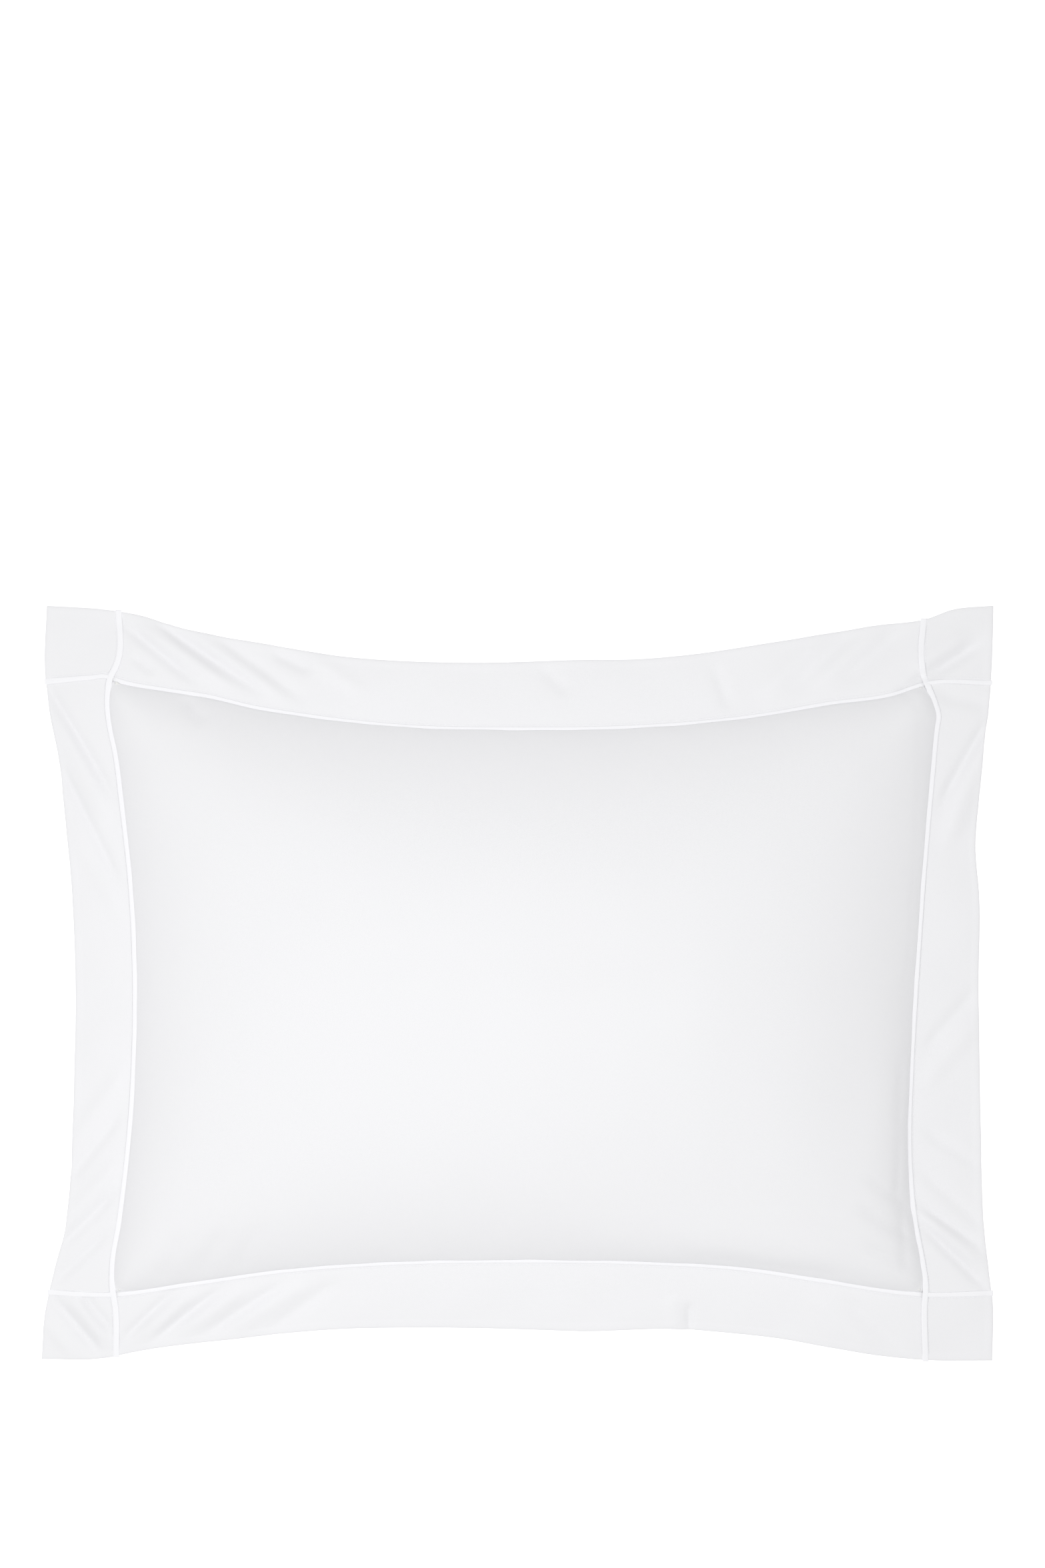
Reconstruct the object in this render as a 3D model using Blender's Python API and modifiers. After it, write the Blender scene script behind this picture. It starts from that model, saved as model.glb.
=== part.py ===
"""Bed pillow: a flanged cotton sham, closed by a zip on its back, over a pillow insert.

Metres, +Z up. The pillow lies on its back panel with its face up. The origin is at the centre of its
base, +X runs along its long side and +Y towards its top edge.

A place on the cloth is given by a column s and a row t. From -1 to 1 they cross the filled body, from
seam to seam, and from 1 to 2 (or -1 to -2) they cross the flat border, from the seam to the outer edge.
"""

import math

import bmesh
import bpy
from mathutils import Matrix, Vector

# The filled body, between its seams. Filling draws the middle of each side in from the corners.
BODY_LENGTH = 0.618
BODY_WIDTH = 0.467
LEFT_DRAWN_IN = 0.018
RIGHT_DRAWN_IN = 0.010
BOTTOM_DRAWN_IN = 0.0255
TOP_DRAWN_IN = 0.0385
SEAM_HEIGHT = 0.070
CROWN_ABOVE_SEAM = 0.098
FREE_BELLY_BELOW_SEAM = 0.085
EDGE_SQUARENESS = 2.2
EDGE_STEEPNESS = 0.55

# The sham's cloth, its flat border and the flat piping over its seams.
BORDER_WIDTH = 0.0508
CLOTH = 0.0008
PIPING_WIDTH = 0.0043
PIPING_THICKNESS = 0.0012
PIPING_FROM_SEAM = 0.0032
GAP = 0.0003

# The insert and its filling, measured in from the sham's cloth.
TICKING = 0.0006
INSERT_INSET = 0.0070
INSERT_LIFT = 0.0006
FILL_INSET = 0.0135
FILL_CLEARANCE = 0.0007

# The zip across the back. Its height is that of the cloth's inner face beside it.
ZIP_Y = -0.140
ZIP_HEIGHT = 0.0105
ZIP_LIP = 0.006
ZIP_BED = 0.016
ZIP_HEADROOM = 0.0042
CHAIN_LENGTH = 0.394
CHAIN_SPLIT = 0.0008
COIL_WIDTH = 0.0020
COIL_HEIGHT = 0.0016
TAPE_LENGTH = 0.420
TAPE_WIDTH = 0.0132
TAPE = 0.0005
STOP_LENGTH = 0.003
SLIDER_LENGTH = 0.012
SLIDER_WALL = 0.001
SLIDER_FROM_STOP = 0.001
POST_LENGTH = 0.003
POST_WIDTH = 0.001
BRIDGE_LENGTH = 0.007
BRIDGE_WIDTH = 0.0016
BRIDGE_BAR = 0.001
BRIDGE_LEG = 0.0011
PULL_LENGTH = 0.022
PULL_WIDTH = 0.0056
PULL_THICKNESS = 0.001
PULL_WINDOW_LENGTH = 0.0046
PULL_WINDOW_WIDTH = 0.003
PULL_BAR_RADIUS = 0.00055
PULL_ROUNDING = 0.0015

# A blank care label, flat under the border.
LABEL_LENGTH = 0.034
LABEL_WIDTH = 0.020
LABEL = 0.0006
LABEL_FROM_MIDDLE = 0.12
LABEL_FROM_SEAM = 0.002

# Where the cloth's lines run: columns from the middle outwards, and rows as shares of the way from the
# bottom seam to the zip's bed, and from the bed to the top seam.
COLUMNS = (0.0, 0.2, 0.4, 0.56, 0.72, 0.84, 0.93, 0.98, 1.0)
LOWER_ROWS = (0.0, 0.04, 0.15, 0.42)
UPPER_ROWS = (0.10, 0.22, 0.35, 0.5, 0.65, 0.78, 0.88, 0.95, 0.985, 1.0)
LAST_ZIP_COLUMN = 0.72

# Colour, roughness and metallic value.
COTTON = ((0.93, 0.93, 0.94), 0.85, 0.0)
PIPING_COTTON = ((0.96, 0.96, 0.97), 0.8, 0.0)
TICKING_COTTON = ((0.90, 0.90, 0.88), 0.85, 0.0)
FIBRE = ((0.95, 0.95, 0.95), 1.0, 0.0)
TAPE_POLYESTER = ((0.92, 0.92, 0.93), 0.7, 0.0)
NYLON = ((0.93, 0.93, 0.94), 0.35, 0.0)
LACQUERED_ZINC = ((0.88, 0.88, 0.90), 0.3, 0.0)
LABEL_SATIN = ((0.95, 0.95, 0.95), 0.5, 0.0)

# Heights of the layers, from the floor up.
BORDER_HEIGHT = SEAM_HEIGHT + GAP
PIPING_HEIGHT = BORDER_HEIGHT + CLOTH + GAP
TAPE_HEIGHT = ZIP_HEIGHT + GAP
OUTER_EDGE = 2.0


def clear_scene():
    for obj in list(bpy.data.objects):
        bpy.data.objects.remove(obj, do_unlink=True)


def new_collection(name):
    collection = bpy.data.collections.new(name)
    bpy.context.scene.collection.children.link(collection)
    return collection


def give_material(obj, look):
    """Gives the object its own material."""
    color, roughness, metallic = look
    material = bpy.data.materials.new(obj.name)
    material.use_nodes = True
    shader = material.node_tree.nodes["Principled BSDF"]
    shader.inputs["Base Color"].default_value = (*color, 1.0)
    shader.inputs["Roughness"].default_value = roughness
    shader.inputs["Metallic"].default_value = metallic
    obj.data.materials.append(material)


def add_part(name, shape, look, at=(0.0, 0.0, 0.0)):
    """Turns a finished bmesh into a named part, with its origin at this place."""
    mesh = bpy.data.meshes.new(name)
    shape.to_mesh(mesh)
    shape.free()
    obj = bpy.data.objects.new(name, mesh)
    obj.location = at
    PARTS.objects.link(obj)
    give_material(obj, look)
    return obj


def add_helper(name, shape, at):
    """Turns a finished bmesh into a cutter or a block to be joined on, which isn't a part."""
    mesh = bpy.data.meshes.new(name)
    shape.to_mesh(mesh)
    shape.free()
    obj = bpy.data.objects.new(name, mesh)
    obj.location = at
    obj.hide_render = True
    obj.display_type = "WIRE"
    HELPERS.objects.link(obj)
    return obj


# ---- The shape of the cloth --------------------------------------------------------------------


def half_length(row, right, inset=0.0):
    """From the middle line to the left or right seam, at this row."""
    drawn_in = RIGHT_DRAWN_IN if right else LEFT_DRAWN_IN
    return BODY_LENGTH / 2 - drawn_in * (1 - min(abs(row), 1.0) ** 2) - inset


def half_width(column, top, inset=0.0):
    """From the middle line to the bottom or top seam, at this column."""
    drawn_in = TOP_DRAWN_IN if top else BOTTOM_DRAWN_IN
    return BODY_WIDTH / 2 - drawn_in * (1 - min(abs(column), 1.0) ** 2) - inset


def fullness(column, row):
    """How full the body is here: 1 in its middle, 0 at its seams."""
    across = 1 - min(abs(column), 1.0) ** EDGE_SQUARENESS
    along = 1 - min(abs(row), 1.0) ** EDGE_SQUARENESS
    return (across * along) ** EDGE_STEEPNESS


def on_cloth(column, y, inset=0.0):
    """The x of this column at this y, and the row that it lies on."""
    row = y / half_width(column, y > 0, inset)
    inside = max(-1.0, min(1.0, column))
    return inside * half_length(row, column > 0, inset) + (column - inside) * BORDER_WIDTH, row


def lower_rows(column, inset=0.0):
    """The rows below the zip's bed, at this column, from the bottom seam up."""
    seam = half_width(column, False, inset)
    return [-seam + (ZIP_Y - ZIP_BED + seam) * share for share in LOWER_ROWS]


def upper_rows(column, inset=0.0):
    """The rows above the zip's bed, at this column, up to the top seam."""
    seam = half_width(column, True, inset)
    bed = ZIP_Y + ZIP_BED
    return [bed + (seam - bed) * share for share in UPPER_ROWS]


def body_rows(column, inset=0.0):
    bed = [ZIP_Y - ZIP_BED, ZIP_Y - ZIP_LIP, ZIP_Y + ZIP_LIP, ZIP_Y + ZIP_BED]
    return lower_rows(column, inset) + bed + upper_rows(column, inset)


def both_ways(columns):
    return [-column for column in reversed(columns[1:])] + list(columns)


def front_net(inset=0.0, lift=0.0, rim=0.0):
    """Points over the front of the body, column by column. They lie lift under the front panel's inner
    face at the crown, and rim over its edge at the seams."""
    net = []
    for column in both_ways(COLUMNS):
        points = []
        for y in body_rows(column, inset):
            x, row = on_cloth(column, y, inset)
            rise = (CROWN_ABOVE_SEAM - lift - rim) * fullness(column, row)
            points.append((x, y, BORDER_HEIGHT + rim + rise))
        net.append(points)
    return net


def back_height(column, y, row, lift, rim, bed_lift):
    """The height of the back, flat where it rests and over the zip's bed."""
    if abs(column) <= LAST_ZIP_COLUMN and abs(y - ZIP_Y) <= ZIP_BED + GAP:
        return ZIP_HEIGHT + bed_lift
    hang = (FREE_BELLY_BELOW_SEAM - lift - rim) * fullness(column, row)
    return max(CLOTH + lift, SEAM_HEIGHT - rim - hang)


def back_net(columns, rows_at, inset=0.0, lift=0.0, rim=0.0, bed_lift=0.0):
    """Points over the back, column by column, on the rows that rows_at gives for each column."""
    net = []
    for column in columns:
        points = []
        for y in rows_at(column):
            x, row = on_cloth(column, y, inset)
            points.append((x, y, back_height(column, y, row, lift, rim, bed_lift)))
        net.append(points)
    return net


def border_net(columns, rows, height):
    """Points over the flat border, column by column. Past a seam, a step of 1 is the border's width."""
    net = []
    for column in columns:
        points = []
        for row in rows:
            across, up = max(-1.0, min(1.0, column)), max(-1.0, min(1.0, row))
            x = across * half_length(row, column > 0) + (column - across) * BORDER_WIDTH
            y = up * half_width(column, row > 0) + (row - up) * BORDER_WIDTH
            points.append((x, y, height))
        net.append(points)
    return net


def corner_rows():
    """The body's rows along its side seams, as shares of the half width there."""
    return [y / (BODY_WIDTH / 2) for y in body_rows(1.0)]


def past_seam(distance):
    """The column or row that lies this far outside the seam."""
    return 1 + distance / BORDER_WIDTH


# ---- Making sheets, boxes and joined shapes ----------------------------------------------------


def lay_grid(net, under=None):
    """A grid laid over a net of points, or a closed solid between that net and one under it."""
    columns, rows = len(net) - 1, len(net[0]) - 1
    grid = bmesh.new()
    bmesh.ops.create_grid(grid, x_segments=columns, y_segments=rows, size=1.0)
    bmesh.ops.triangulate(grid, faces=grid.faces, quad_method="FIXED")
    if under:
        made = bmesh.ops.extrude_face_region(grid, geom=grid.faces[:], use_keep_orig=True)
        for vertex in (item for item in made["geom"] if isinstance(item, bmesh.types.BMVert)):
            vertex.co.z = -1.0
    for vertex in grid.verts:
        column = round((vertex.co.x + 1) / 2 * columns)
        row = round((vertex.co.y + 1) / 2 * rows)
        vertex.co = (net if vertex.co.z > -0.5 else under)[column][row]
    if under:
        bmesh.ops.recalc_face_normals(grid, faces=grid.faces)
    return grid


def sheet(name, net, thickness, look, above):
    """A sheet laid over the net, with its thickness above or below it."""
    obj = add_part(name, lay_grid(net), look)
    shell = obj.modifiers.new("thickness", "SOLIDIFY")
    shell.thickness = thickness
    shell.offset = 1.0 if above else -1.0
    return obj


def block(low, high):
    """A box between two corners."""
    cube = bmesh.new()
    bmesh.ops.create_cube(cube, size=1.0)
    for vertex in cube.verts:
        shares = [vertex.co[i] + 0.5 for i in range(3)]
        vertex.co = Vector(low[i] + (high[i] - low[i]) * shares[i] for i in range(3))
    return cube


def change(obj, operation, name, shape):
    """Joins a shape to the part, or cuts it out of it."""
    modifier = obj.modifiers.new(name, "BOOLEAN")
    modifier.operation = operation
    modifier.solver = "EXACT"
    modifier.object = add_helper(f"{obj.name}_{name}", shape, obj.location)


# ---- The sham ----------------------------------------------------------------------------------


def make_front():
    sheet("front_panel", front_net(), CLOTH, COTTON, above=True)


def make_border():
    """The border's top layer: four sides and four corners, which meet under the piping."""
    seam_gap = GAP / 2 / BORDER_WIDTH
    crossing = past_seam(PIPING_FROM_SEAM)
    inner = past_seam(CLOTH + GAP)
    side_rows = [-crossing + seam_gap] + corner_rows() + [crossing - seam_gap]
    end_columns = [GAP / BORDER_WIDTH - inner] + both_ways(COLUMNS) + [inner - GAP / BORDER_WIDTH]
    outer = [crossing + seam_gap, OUTER_EDGE]
    across = [inner, OUTER_EDGE]
    for name, columns, rows in (
        ("border_left", mirror(across), side_rows),
        ("border_right", across, side_rows),
        ("border_bottom", end_columns, mirror(across)),
        ("border_top", end_columns, across),
        ("corner_bottom_left", mirror(outer), mirror(outer)),
        ("corner_bottom_right", outer, mirror(outer)),
        ("corner_top_left", mirror(outer), outer),
        ("corner_top_right", outer, outer),
    ):
        sheet(name, border_net(columns, rows, BORDER_HEIGHT), CLOTH, COTTON, above=True)


def mirror(values):
    return [-value for value in reversed(values)]


def make_piping():
    """Two pipings run the whole width, and three shorter ones fit between and beside them each way."""
    near = past_seam(PIPING_FROM_SEAM - PIPING_WIDTH / 2)
    far = past_seam(PIPING_FROM_SEAM + PIPING_WIDTH / 2)
    gap = GAP / BORDER_WIDTH
    band = [near, far]
    whole = [-OUTER_EDGE] + corner_rows() + [OUTER_EDGE]
    middle = [-near + gap] + both_ways(COLUMNS) + [near - gap]
    end = [far + gap, OUTER_EDGE]
    strips = [("piping_left", mirror(band), whole), ("piping_right", band, whole)]
    for edge, rows in (("top", band), ("bottom", mirror(band))):
        strips.append((f"piping_{edge}_left", mirror(end), rows))
        strips.append((f"piping_{edge}_middle", middle, rows))
        strips.append((f"piping_{edge}_right", end, rows))
    for name, columns, rows in strips:
        net = border_net(columns, rows, PIPING_HEIGHT)
        sheet(name, net, PIPING_THICKNESS, PIPING_COTTON, above=True)


def lip(column):
    """From the zip's middle to the cloth's folded edge: open over the zip, closed beside it."""
    return ZIP_LIP if abs(column) <= LAST_ZIP_COLUMN else GAP / 2


def make_back():
    """Two panels that meet along the zip and run out to the border's edge, as its under layer."""
    columns = [-OUTER_EDGE] + both_ways(COLUMNS) + [OUTER_EDGE]

    def lower(column):
        outer = -half_width(column, False) - BORDER_WIDTH
        return [outer] + lower_rows(column) + [ZIP_Y - ZIP_BED, ZIP_Y - lip(column)]

    def upper(column):
        outer = half_width(column, True) + BORDER_WIDTH
        return [ZIP_Y + lip(column), ZIP_Y + ZIP_BED] + upper_rows(column) + [outer]

    sheet("back_panel_lower", back_net(columns, lower), CLOTH, COTTON, above=False)
    sheet("back_panel_upper", back_net(columns, upper), CLOTH, COTTON, above=False)


def make_label():
    far_end = (LABEL_FROM_MIDDLE + LABEL_LENGTH / 2) / half_length(0.0, True)
    seam = -half_width(far_end, False) - LABEL_FROM_SEAM
    top = SEAM_HEIGHT - CLOTH - GAP
    low = (LABEL_FROM_MIDDLE - LABEL_LENGTH / 2, seam - LABEL_WIDTH, top - LABEL)
    high = (LABEL_FROM_MIDDLE + LABEL_LENGTH / 2, seam, top)
    add_part("care_label", block(low, high), LABEL_SATIN)


# ---- The insert --------------------------------------------------------------------------------


def make_insert():
    columns = both_ways(COLUMNS)
    front = front_net(INSERT_INSET, INSERT_LIFT, TICKING)
    sheet("ticking_front", front, TICKING, TICKING_COTTON, above=False)
    back = back_net(
        columns,
        lambda column: body_rows(column, INSERT_INSET),
        INSERT_INSET,
        INSERT_LIFT,
        TICKING,
        ZIP_HEADROOM,
    )
    sheet("ticking_back", back, TICKING, TICKING_COTTON, above=True)
    fill_lift = INSERT_LIFT + TICKING + FILL_CLEARANCE
    under = back_net(
        columns,
        lambda column: body_rows(column, FILL_INSET),
        FILL_INSET,
        fill_lift,
        0.0,
        ZIP_HEADROOM + TICKING + FILL_CLEARANCE,
    )
    add_part("fill", lay_grid(front_net(FILL_INSET, fill_lift), under), FIBRE)


# ---- The zip -----------------------------------------------------------------------------------

SIDES = (("lower", -1), ("upper", 1))


def beside_chain(side, near, far):
    """The two y values, low first, that lie this far from the zip's middle on one side."""
    return sorted((ZIP_Y + side * near, ZIP_Y + side * far))


def make_tapes_and_coils():
    for name, side in SIDES:
        low, high = beside_chain(side, CHAIN_SPLIT, CHAIN_SPLIT + TAPE_WIDTH)
        tape = block(
            (-TAPE_LENGTH / 2, low, TAPE_HEIGHT), (TAPE_LENGTH / 2, high, TAPE_HEIGHT + TAPE)
        )
        add_part(f"zip_tape_{name}", tape, TAPE_POLYESTER)
        low, high = beside_chain(side, CHAIN_SPLIT, CHAIN_SPLIT + COIL_WIDTH)
        coil = block(
            (-CHAIN_LENGTH / 2, low, ZIP_HEIGHT - COIL_HEIGHT), (CHAIN_LENGTH / 2, high, ZIP_HEIGHT)
        )
        add_part(f"zip_coil_{name}", coil, NYLON)


def make_stops():
    """One stop on each tape at the closed end, and one across both at the other end."""
    near = CHAIN_LENGTH / 2 + GAP
    far = near + STOP_LENGTH
    under = ZIP_HEIGHT - COIL_HEIGHT - GAP
    reach = CHAIN_SPLIT + COIL_WIDTH + GAP
    for name, side in SIDES:
        low, high = beside_chain(side, CHAIN_SPLIT, reach)
        stop = block((near, low, under), (far, high, ZIP_HEIGHT))
        add_part(f"zip_top_stop_{name}", stop, LACQUERED_ZINC)
    bottom = block((-far, ZIP_Y - reach, under), (-near, ZIP_Y + reach, ZIP_HEIGHT))
    add_part("zip_bottom_stop", bottom, LACQUERED_ZINC)


def make_slider():
    """The slider's origin is in the chain's middle. One plate runs under the coils with a wall beside
    each, one runs inside the sham, and a post in the chain's split joins them."""
    middle = CHAIN_LENGTH / 2 - SLIDER_FROM_STOP - SLIDER_LENGTH / 2
    half = SLIDER_LENGTH / 2
    channel = CHAIN_SPLIT + COIL_WIDTH + GAP
    wide = channel + SLIDER_WALL
    outer_face = -COIL_HEIGHT - GAP
    inner_face = GAP + TAPE + GAP
    base = outer_face - SLIDER_WALL
    bar_axis = base - GAP - PULL_BAR_RADIUS
    bridge_face = bar_axis - PULL_BAR_RADIUS - GAP
    at = (middle, ZIP_Y, ZIP_HEIGHT)

    slider = add_part("zip_slider", block((-half, -wide, base), (half, wide, 0.0)), LACQUERED_ZINC, at)
    channel_block = block((-half * 2, -channel, outer_face), (half * 2, channel, half))
    change(slider, "DIFFERENCE", "channel", channel_block)
    post_start = half - POST_LENGTH
    post = block(
        (post_start, -POST_WIDTH / 2, base + SLIDER_WALL / 2),
        (half - GAP, POST_WIDTH / 2, inner_face + SLIDER_WALL / 2),
    )
    change(slider, "UNION", "post", post)
    plate = block((-half, -wide, inner_face), (half, wide, inner_face + SLIDER_WALL))
    change(slider, "UNION", "inner_plate", plate)
    bridge = block(
        (-BRIDGE_LENGTH / 2, -BRIDGE_WIDTH / 2, bridge_face - BRIDGE_BAR),
        (BRIDGE_LENGTH / 2, BRIDGE_WIDTH / 2, base + SLIDER_WALL / 2),
    )
    change(slider, "UNION", "bridge", bridge)
    eye_reach = BRIDGE_LENGTH / 2 - BRIDGE_LEG
    eye = block((-eye_reach, -BRIDGE_WIDTH, bridge_face), (eye_reach, BRIDGE_WIDTH, base))
    change(slider, "DIFFERENCE", "eye", eye)
    make_pull((middle, ZIP_Y, ZIP_HEIGHT + bar_axis))


def make_pull(at):
    """The pull's origin is on its bar, which turns in the slider's bridge. It lies along the chain."""
    plate = block(
        (-PULL_LENGTH, -PULL_WIDTH / 2, -PULL_THICKNESS / 2), (0.0, PULL_WIDTH / 2, PULL_THICKNESS / 2)
    )
    upright = [edge for edge in plate.edges if abs(edge.verts[0].co.z - edge.verts[1].co.z) > GAP]
    grip_end = [edge for edge in upright if edge.verts[0].co.x < -PULL_LENGTH / 2]
    bmesh.ops.bevel(plate, geom=grip_end, offset=PULL_ROUNDING, segments=3, affect="EDGES", profile=0.5)
    pull = add_part("zip_pull", plate, LACQUERED_ZINC, at)
    window = block(
        (-PULL_WINDOW_LENGTH, -PULL_WINDOW_WIDTH / 2, -PULL_THICKNESS),
        (PULL_THICKNESS, PULL_WINDOW_WIDTH / 2, PULL_THICKNESS),
    )
    change(pull, "DIFFERENCE", "window", window)
    bar = bmesh.new()
    bmesh.ops.create_cone(
        bar,
        cap_ends=True,
        segments=16,
        radius1=PULL_BAR_RADIUS,
        radius2=PULL_BAR_RADIUS,
        depth=PULL_WIDTH - GAP,
        matrix=Matrix.Rotation(math.pi / 2, 4, "X"),
    )
    change(pull, "UNION", "bar", bar)


clear_scene()
PARTS = new_collection("bed_pillow")
HELPERS = new_collection("cutters")
make_front()
make_border()
make_piping()
make_back()
make_label()
make_insert()
make_tapes_and_coils()
make_stops()
make_slider()
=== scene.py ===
"""Bed pillow: a white cotton sham with a flat border and flat piping, closed by a zip on its back, over a
pillow insert.

Metres, +Z up. The pillow lies on its back with its face up. A place on the cloth is a column p and a row
q. From -1 to 1 they cross the filled body, and from 1 to 2 (or -1 to -2) the flat border.
"""

import functools
import math

import bmesh
import bpy
import numpy as np
from bpy.props import FloatProperty, FloatVectorProperty, PointerProperty
from mathutils import Matrix, Vector


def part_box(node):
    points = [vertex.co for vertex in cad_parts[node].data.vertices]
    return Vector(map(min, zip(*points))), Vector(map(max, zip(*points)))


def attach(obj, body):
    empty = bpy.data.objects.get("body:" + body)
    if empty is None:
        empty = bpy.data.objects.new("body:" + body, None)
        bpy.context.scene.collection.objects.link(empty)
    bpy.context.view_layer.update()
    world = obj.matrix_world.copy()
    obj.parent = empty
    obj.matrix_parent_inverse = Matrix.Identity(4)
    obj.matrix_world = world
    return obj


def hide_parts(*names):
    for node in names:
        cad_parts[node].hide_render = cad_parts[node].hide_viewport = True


bl_info = {
    "name": "Flanged bed pillow",
    "version": (1, 0, 0),
    "blender": (4, 5, 0),
    "location": "3D View > Sidebar > Pillow",
    "description": "Makes a bed pillow in a bordered cotton sham, piece by piece",
    "category": "Add Mesh",
}

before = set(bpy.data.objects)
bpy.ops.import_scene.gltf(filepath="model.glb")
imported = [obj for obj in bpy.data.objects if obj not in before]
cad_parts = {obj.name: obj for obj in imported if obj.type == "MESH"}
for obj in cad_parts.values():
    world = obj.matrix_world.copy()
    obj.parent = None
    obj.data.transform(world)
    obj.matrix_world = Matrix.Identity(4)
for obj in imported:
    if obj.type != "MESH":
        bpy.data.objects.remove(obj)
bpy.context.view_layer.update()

# The sham's cut sizes and its cloth.
PANEL_LENGTH = 0.66
PANEL_WIDTH = 0.508
BORDER_WIDTH = 0.0508
CLOTH = 0.0008
# Half the body's length and width where its sides are drawn in.
DRAWN_IN = (0.302, 0.205)

# Heights above what the pillow lies on, and how steeply the body leaves its seams.
SEAM_HEIGHT = 0.070
BORDER_HEIGHT = 0.0703
FRONT_SLOPE = 1.05
BACK_SLOPE = 1.7
BELLY = 0.084
RESTING = 0.006

# Where the body bulges over a seam: its middle (x, y), its reach along x and y, and how much steeper it is.
BULGES = ((0.29, -0.125, 0.03, 0.085, 0.7), (0.18, -0.21, 0.09, 0.03, 0.8))

# The zip: its line, the cloth's height there, half the gap between the lips, and where the gap closes.
ZIP_Y = -0.140
ZIP_HEIGHT = 0.0105
ZIP_LIP = 0.006
ZIP_END = 0.214
ZIP_FADE = 0.236
SEAM_GAP = 0.00015
COIL_PITCH = 0.0013
NYLON_RADIUS = 0.00025
TAPE_THICKNESS = 0.00045

# The upright bands as (y, x), and the level ones as (x, y).
LEFT_BAND = (
    (-0.286, -0.3045), (-0.245, -0.305), (-0.232, -0.307), (-0.215, -0.307), (-0.18, -0.3015),
    (-0.11, -0.2935), (0.0, -0.2895), (0.07, -0.2925), (0.139, -0.300), (0.179, -0.3055),
    (0.19, -0.308), (0.22, -0.3105), (0.232, -0.3085), (0.24, -0.3045), (0.285, -0.3025),
)
RIGHT_BAND = (
    (-0.286, 0.3095), (-0.245, 0.3085), (-0.230, 0.3095), (-0.215, 0.3075), (-0.18, 0.301),
    (-0.134, 0.297), (-0.06, 0.2985), (0.0, 0.302), (0.08, 0.3075), (0.16, 0.3145), (0.194, 0.3178),
    (0.202, 0.319), (0.212, 0.3165), (0.235, 0.3078), (0.285, 0.3088),
)
TOP_BAND = (
    (-0.358, 0.2288), (-0.325, 0.2315), (-0.312, 0.2325), (-0.302, 0.229), (-0.267, 0.2222),
    (-0.236, 0.2175), (-0.2, 0.209), (-0.16, 0.2025), (-0.08, 0.194), (0.0, 0.1924), (0.09, 0.194),
    (0.15, 0.1985), (0.189, 0.2035), (0.234, 0.2115), (0.287, 0.2195), (0.307, 0.2263), (0.36, 0.2278),
)
BOTTOM_BAND = (
    (-0.36, -0.2345), (-0.306, -0.2362), (-0.25, -0.2285), (-0.18, -0.2185), (-0.1, -0.2125),
    (0.0, -0.2106), (0.1, -0.2122), (0.17, -0.2165), (0.23, -0.2255), (0.309, -0.2362), (0.36, -0.2352),
)

# The border's outer edge, the same way.
LEFT_EDGE = (
    (-0.285, -0.361), (-0.245, -0.3575), (-0.226, -0.3535), (-0.18, -0.342), (-0.144, -0.339),
    (-0.074, -0.3365), (0.0, -0.3355), (0.068, -0.338), (0.139, -0.3446), (0.174, -0.3486),
    (0.21, -0.3557), (0.237, -0.3585), (0.286, -0.357),
)
RIGHT_EDGE = (
    (-0.285, 0.360), (-0.243, 0.3605), (-0.215, 0.357), (-0.18, 0.3537), (-0.109, 0.3516),
    (0.0, 0.350), (0.068, 0.3503), (0.103, 0.3475), (0.139, 0.350), (0.174, 0.3532), (0.21, 0.3577),
    (0.237, 0.3595), (0.286, 0.361),
)
TOP_EDGE = (
    (-0.356, 0.286), (-0.312, 0.283), (-0.292, 0.280), (-0.254, 0.269), (-0.178, 0.255),
    (-0.14, 0.2485), (-0.102, 0.245), (-0.026, 0.243), (0.05, 0.2452), (0.088, 0.2455), (0.126, 0.2485),
    (0.202, 0.2596), (0.277, 0.2718), (0.312, 0.2765), (0.328, 0.2825), (0.36, 0.286),
)
BOTTOM_EDGE = (
    (-0.356, -0.2852), (-0.312, -0.2842), (-0.292, -0.280), (-0.216, -0.2702), (-0.14, -0.2627),
    (-0.07, -0.2615), (0.012, -0.263), (0.05, -0.2642), (0.12, -0.2625), (0.164, -0.2657),
    (0.202, -0.2702), (0.239, -0.2768), (0.277, -0.2829), (0.312, -0.286), (0.36, -0.2862),
)

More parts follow.
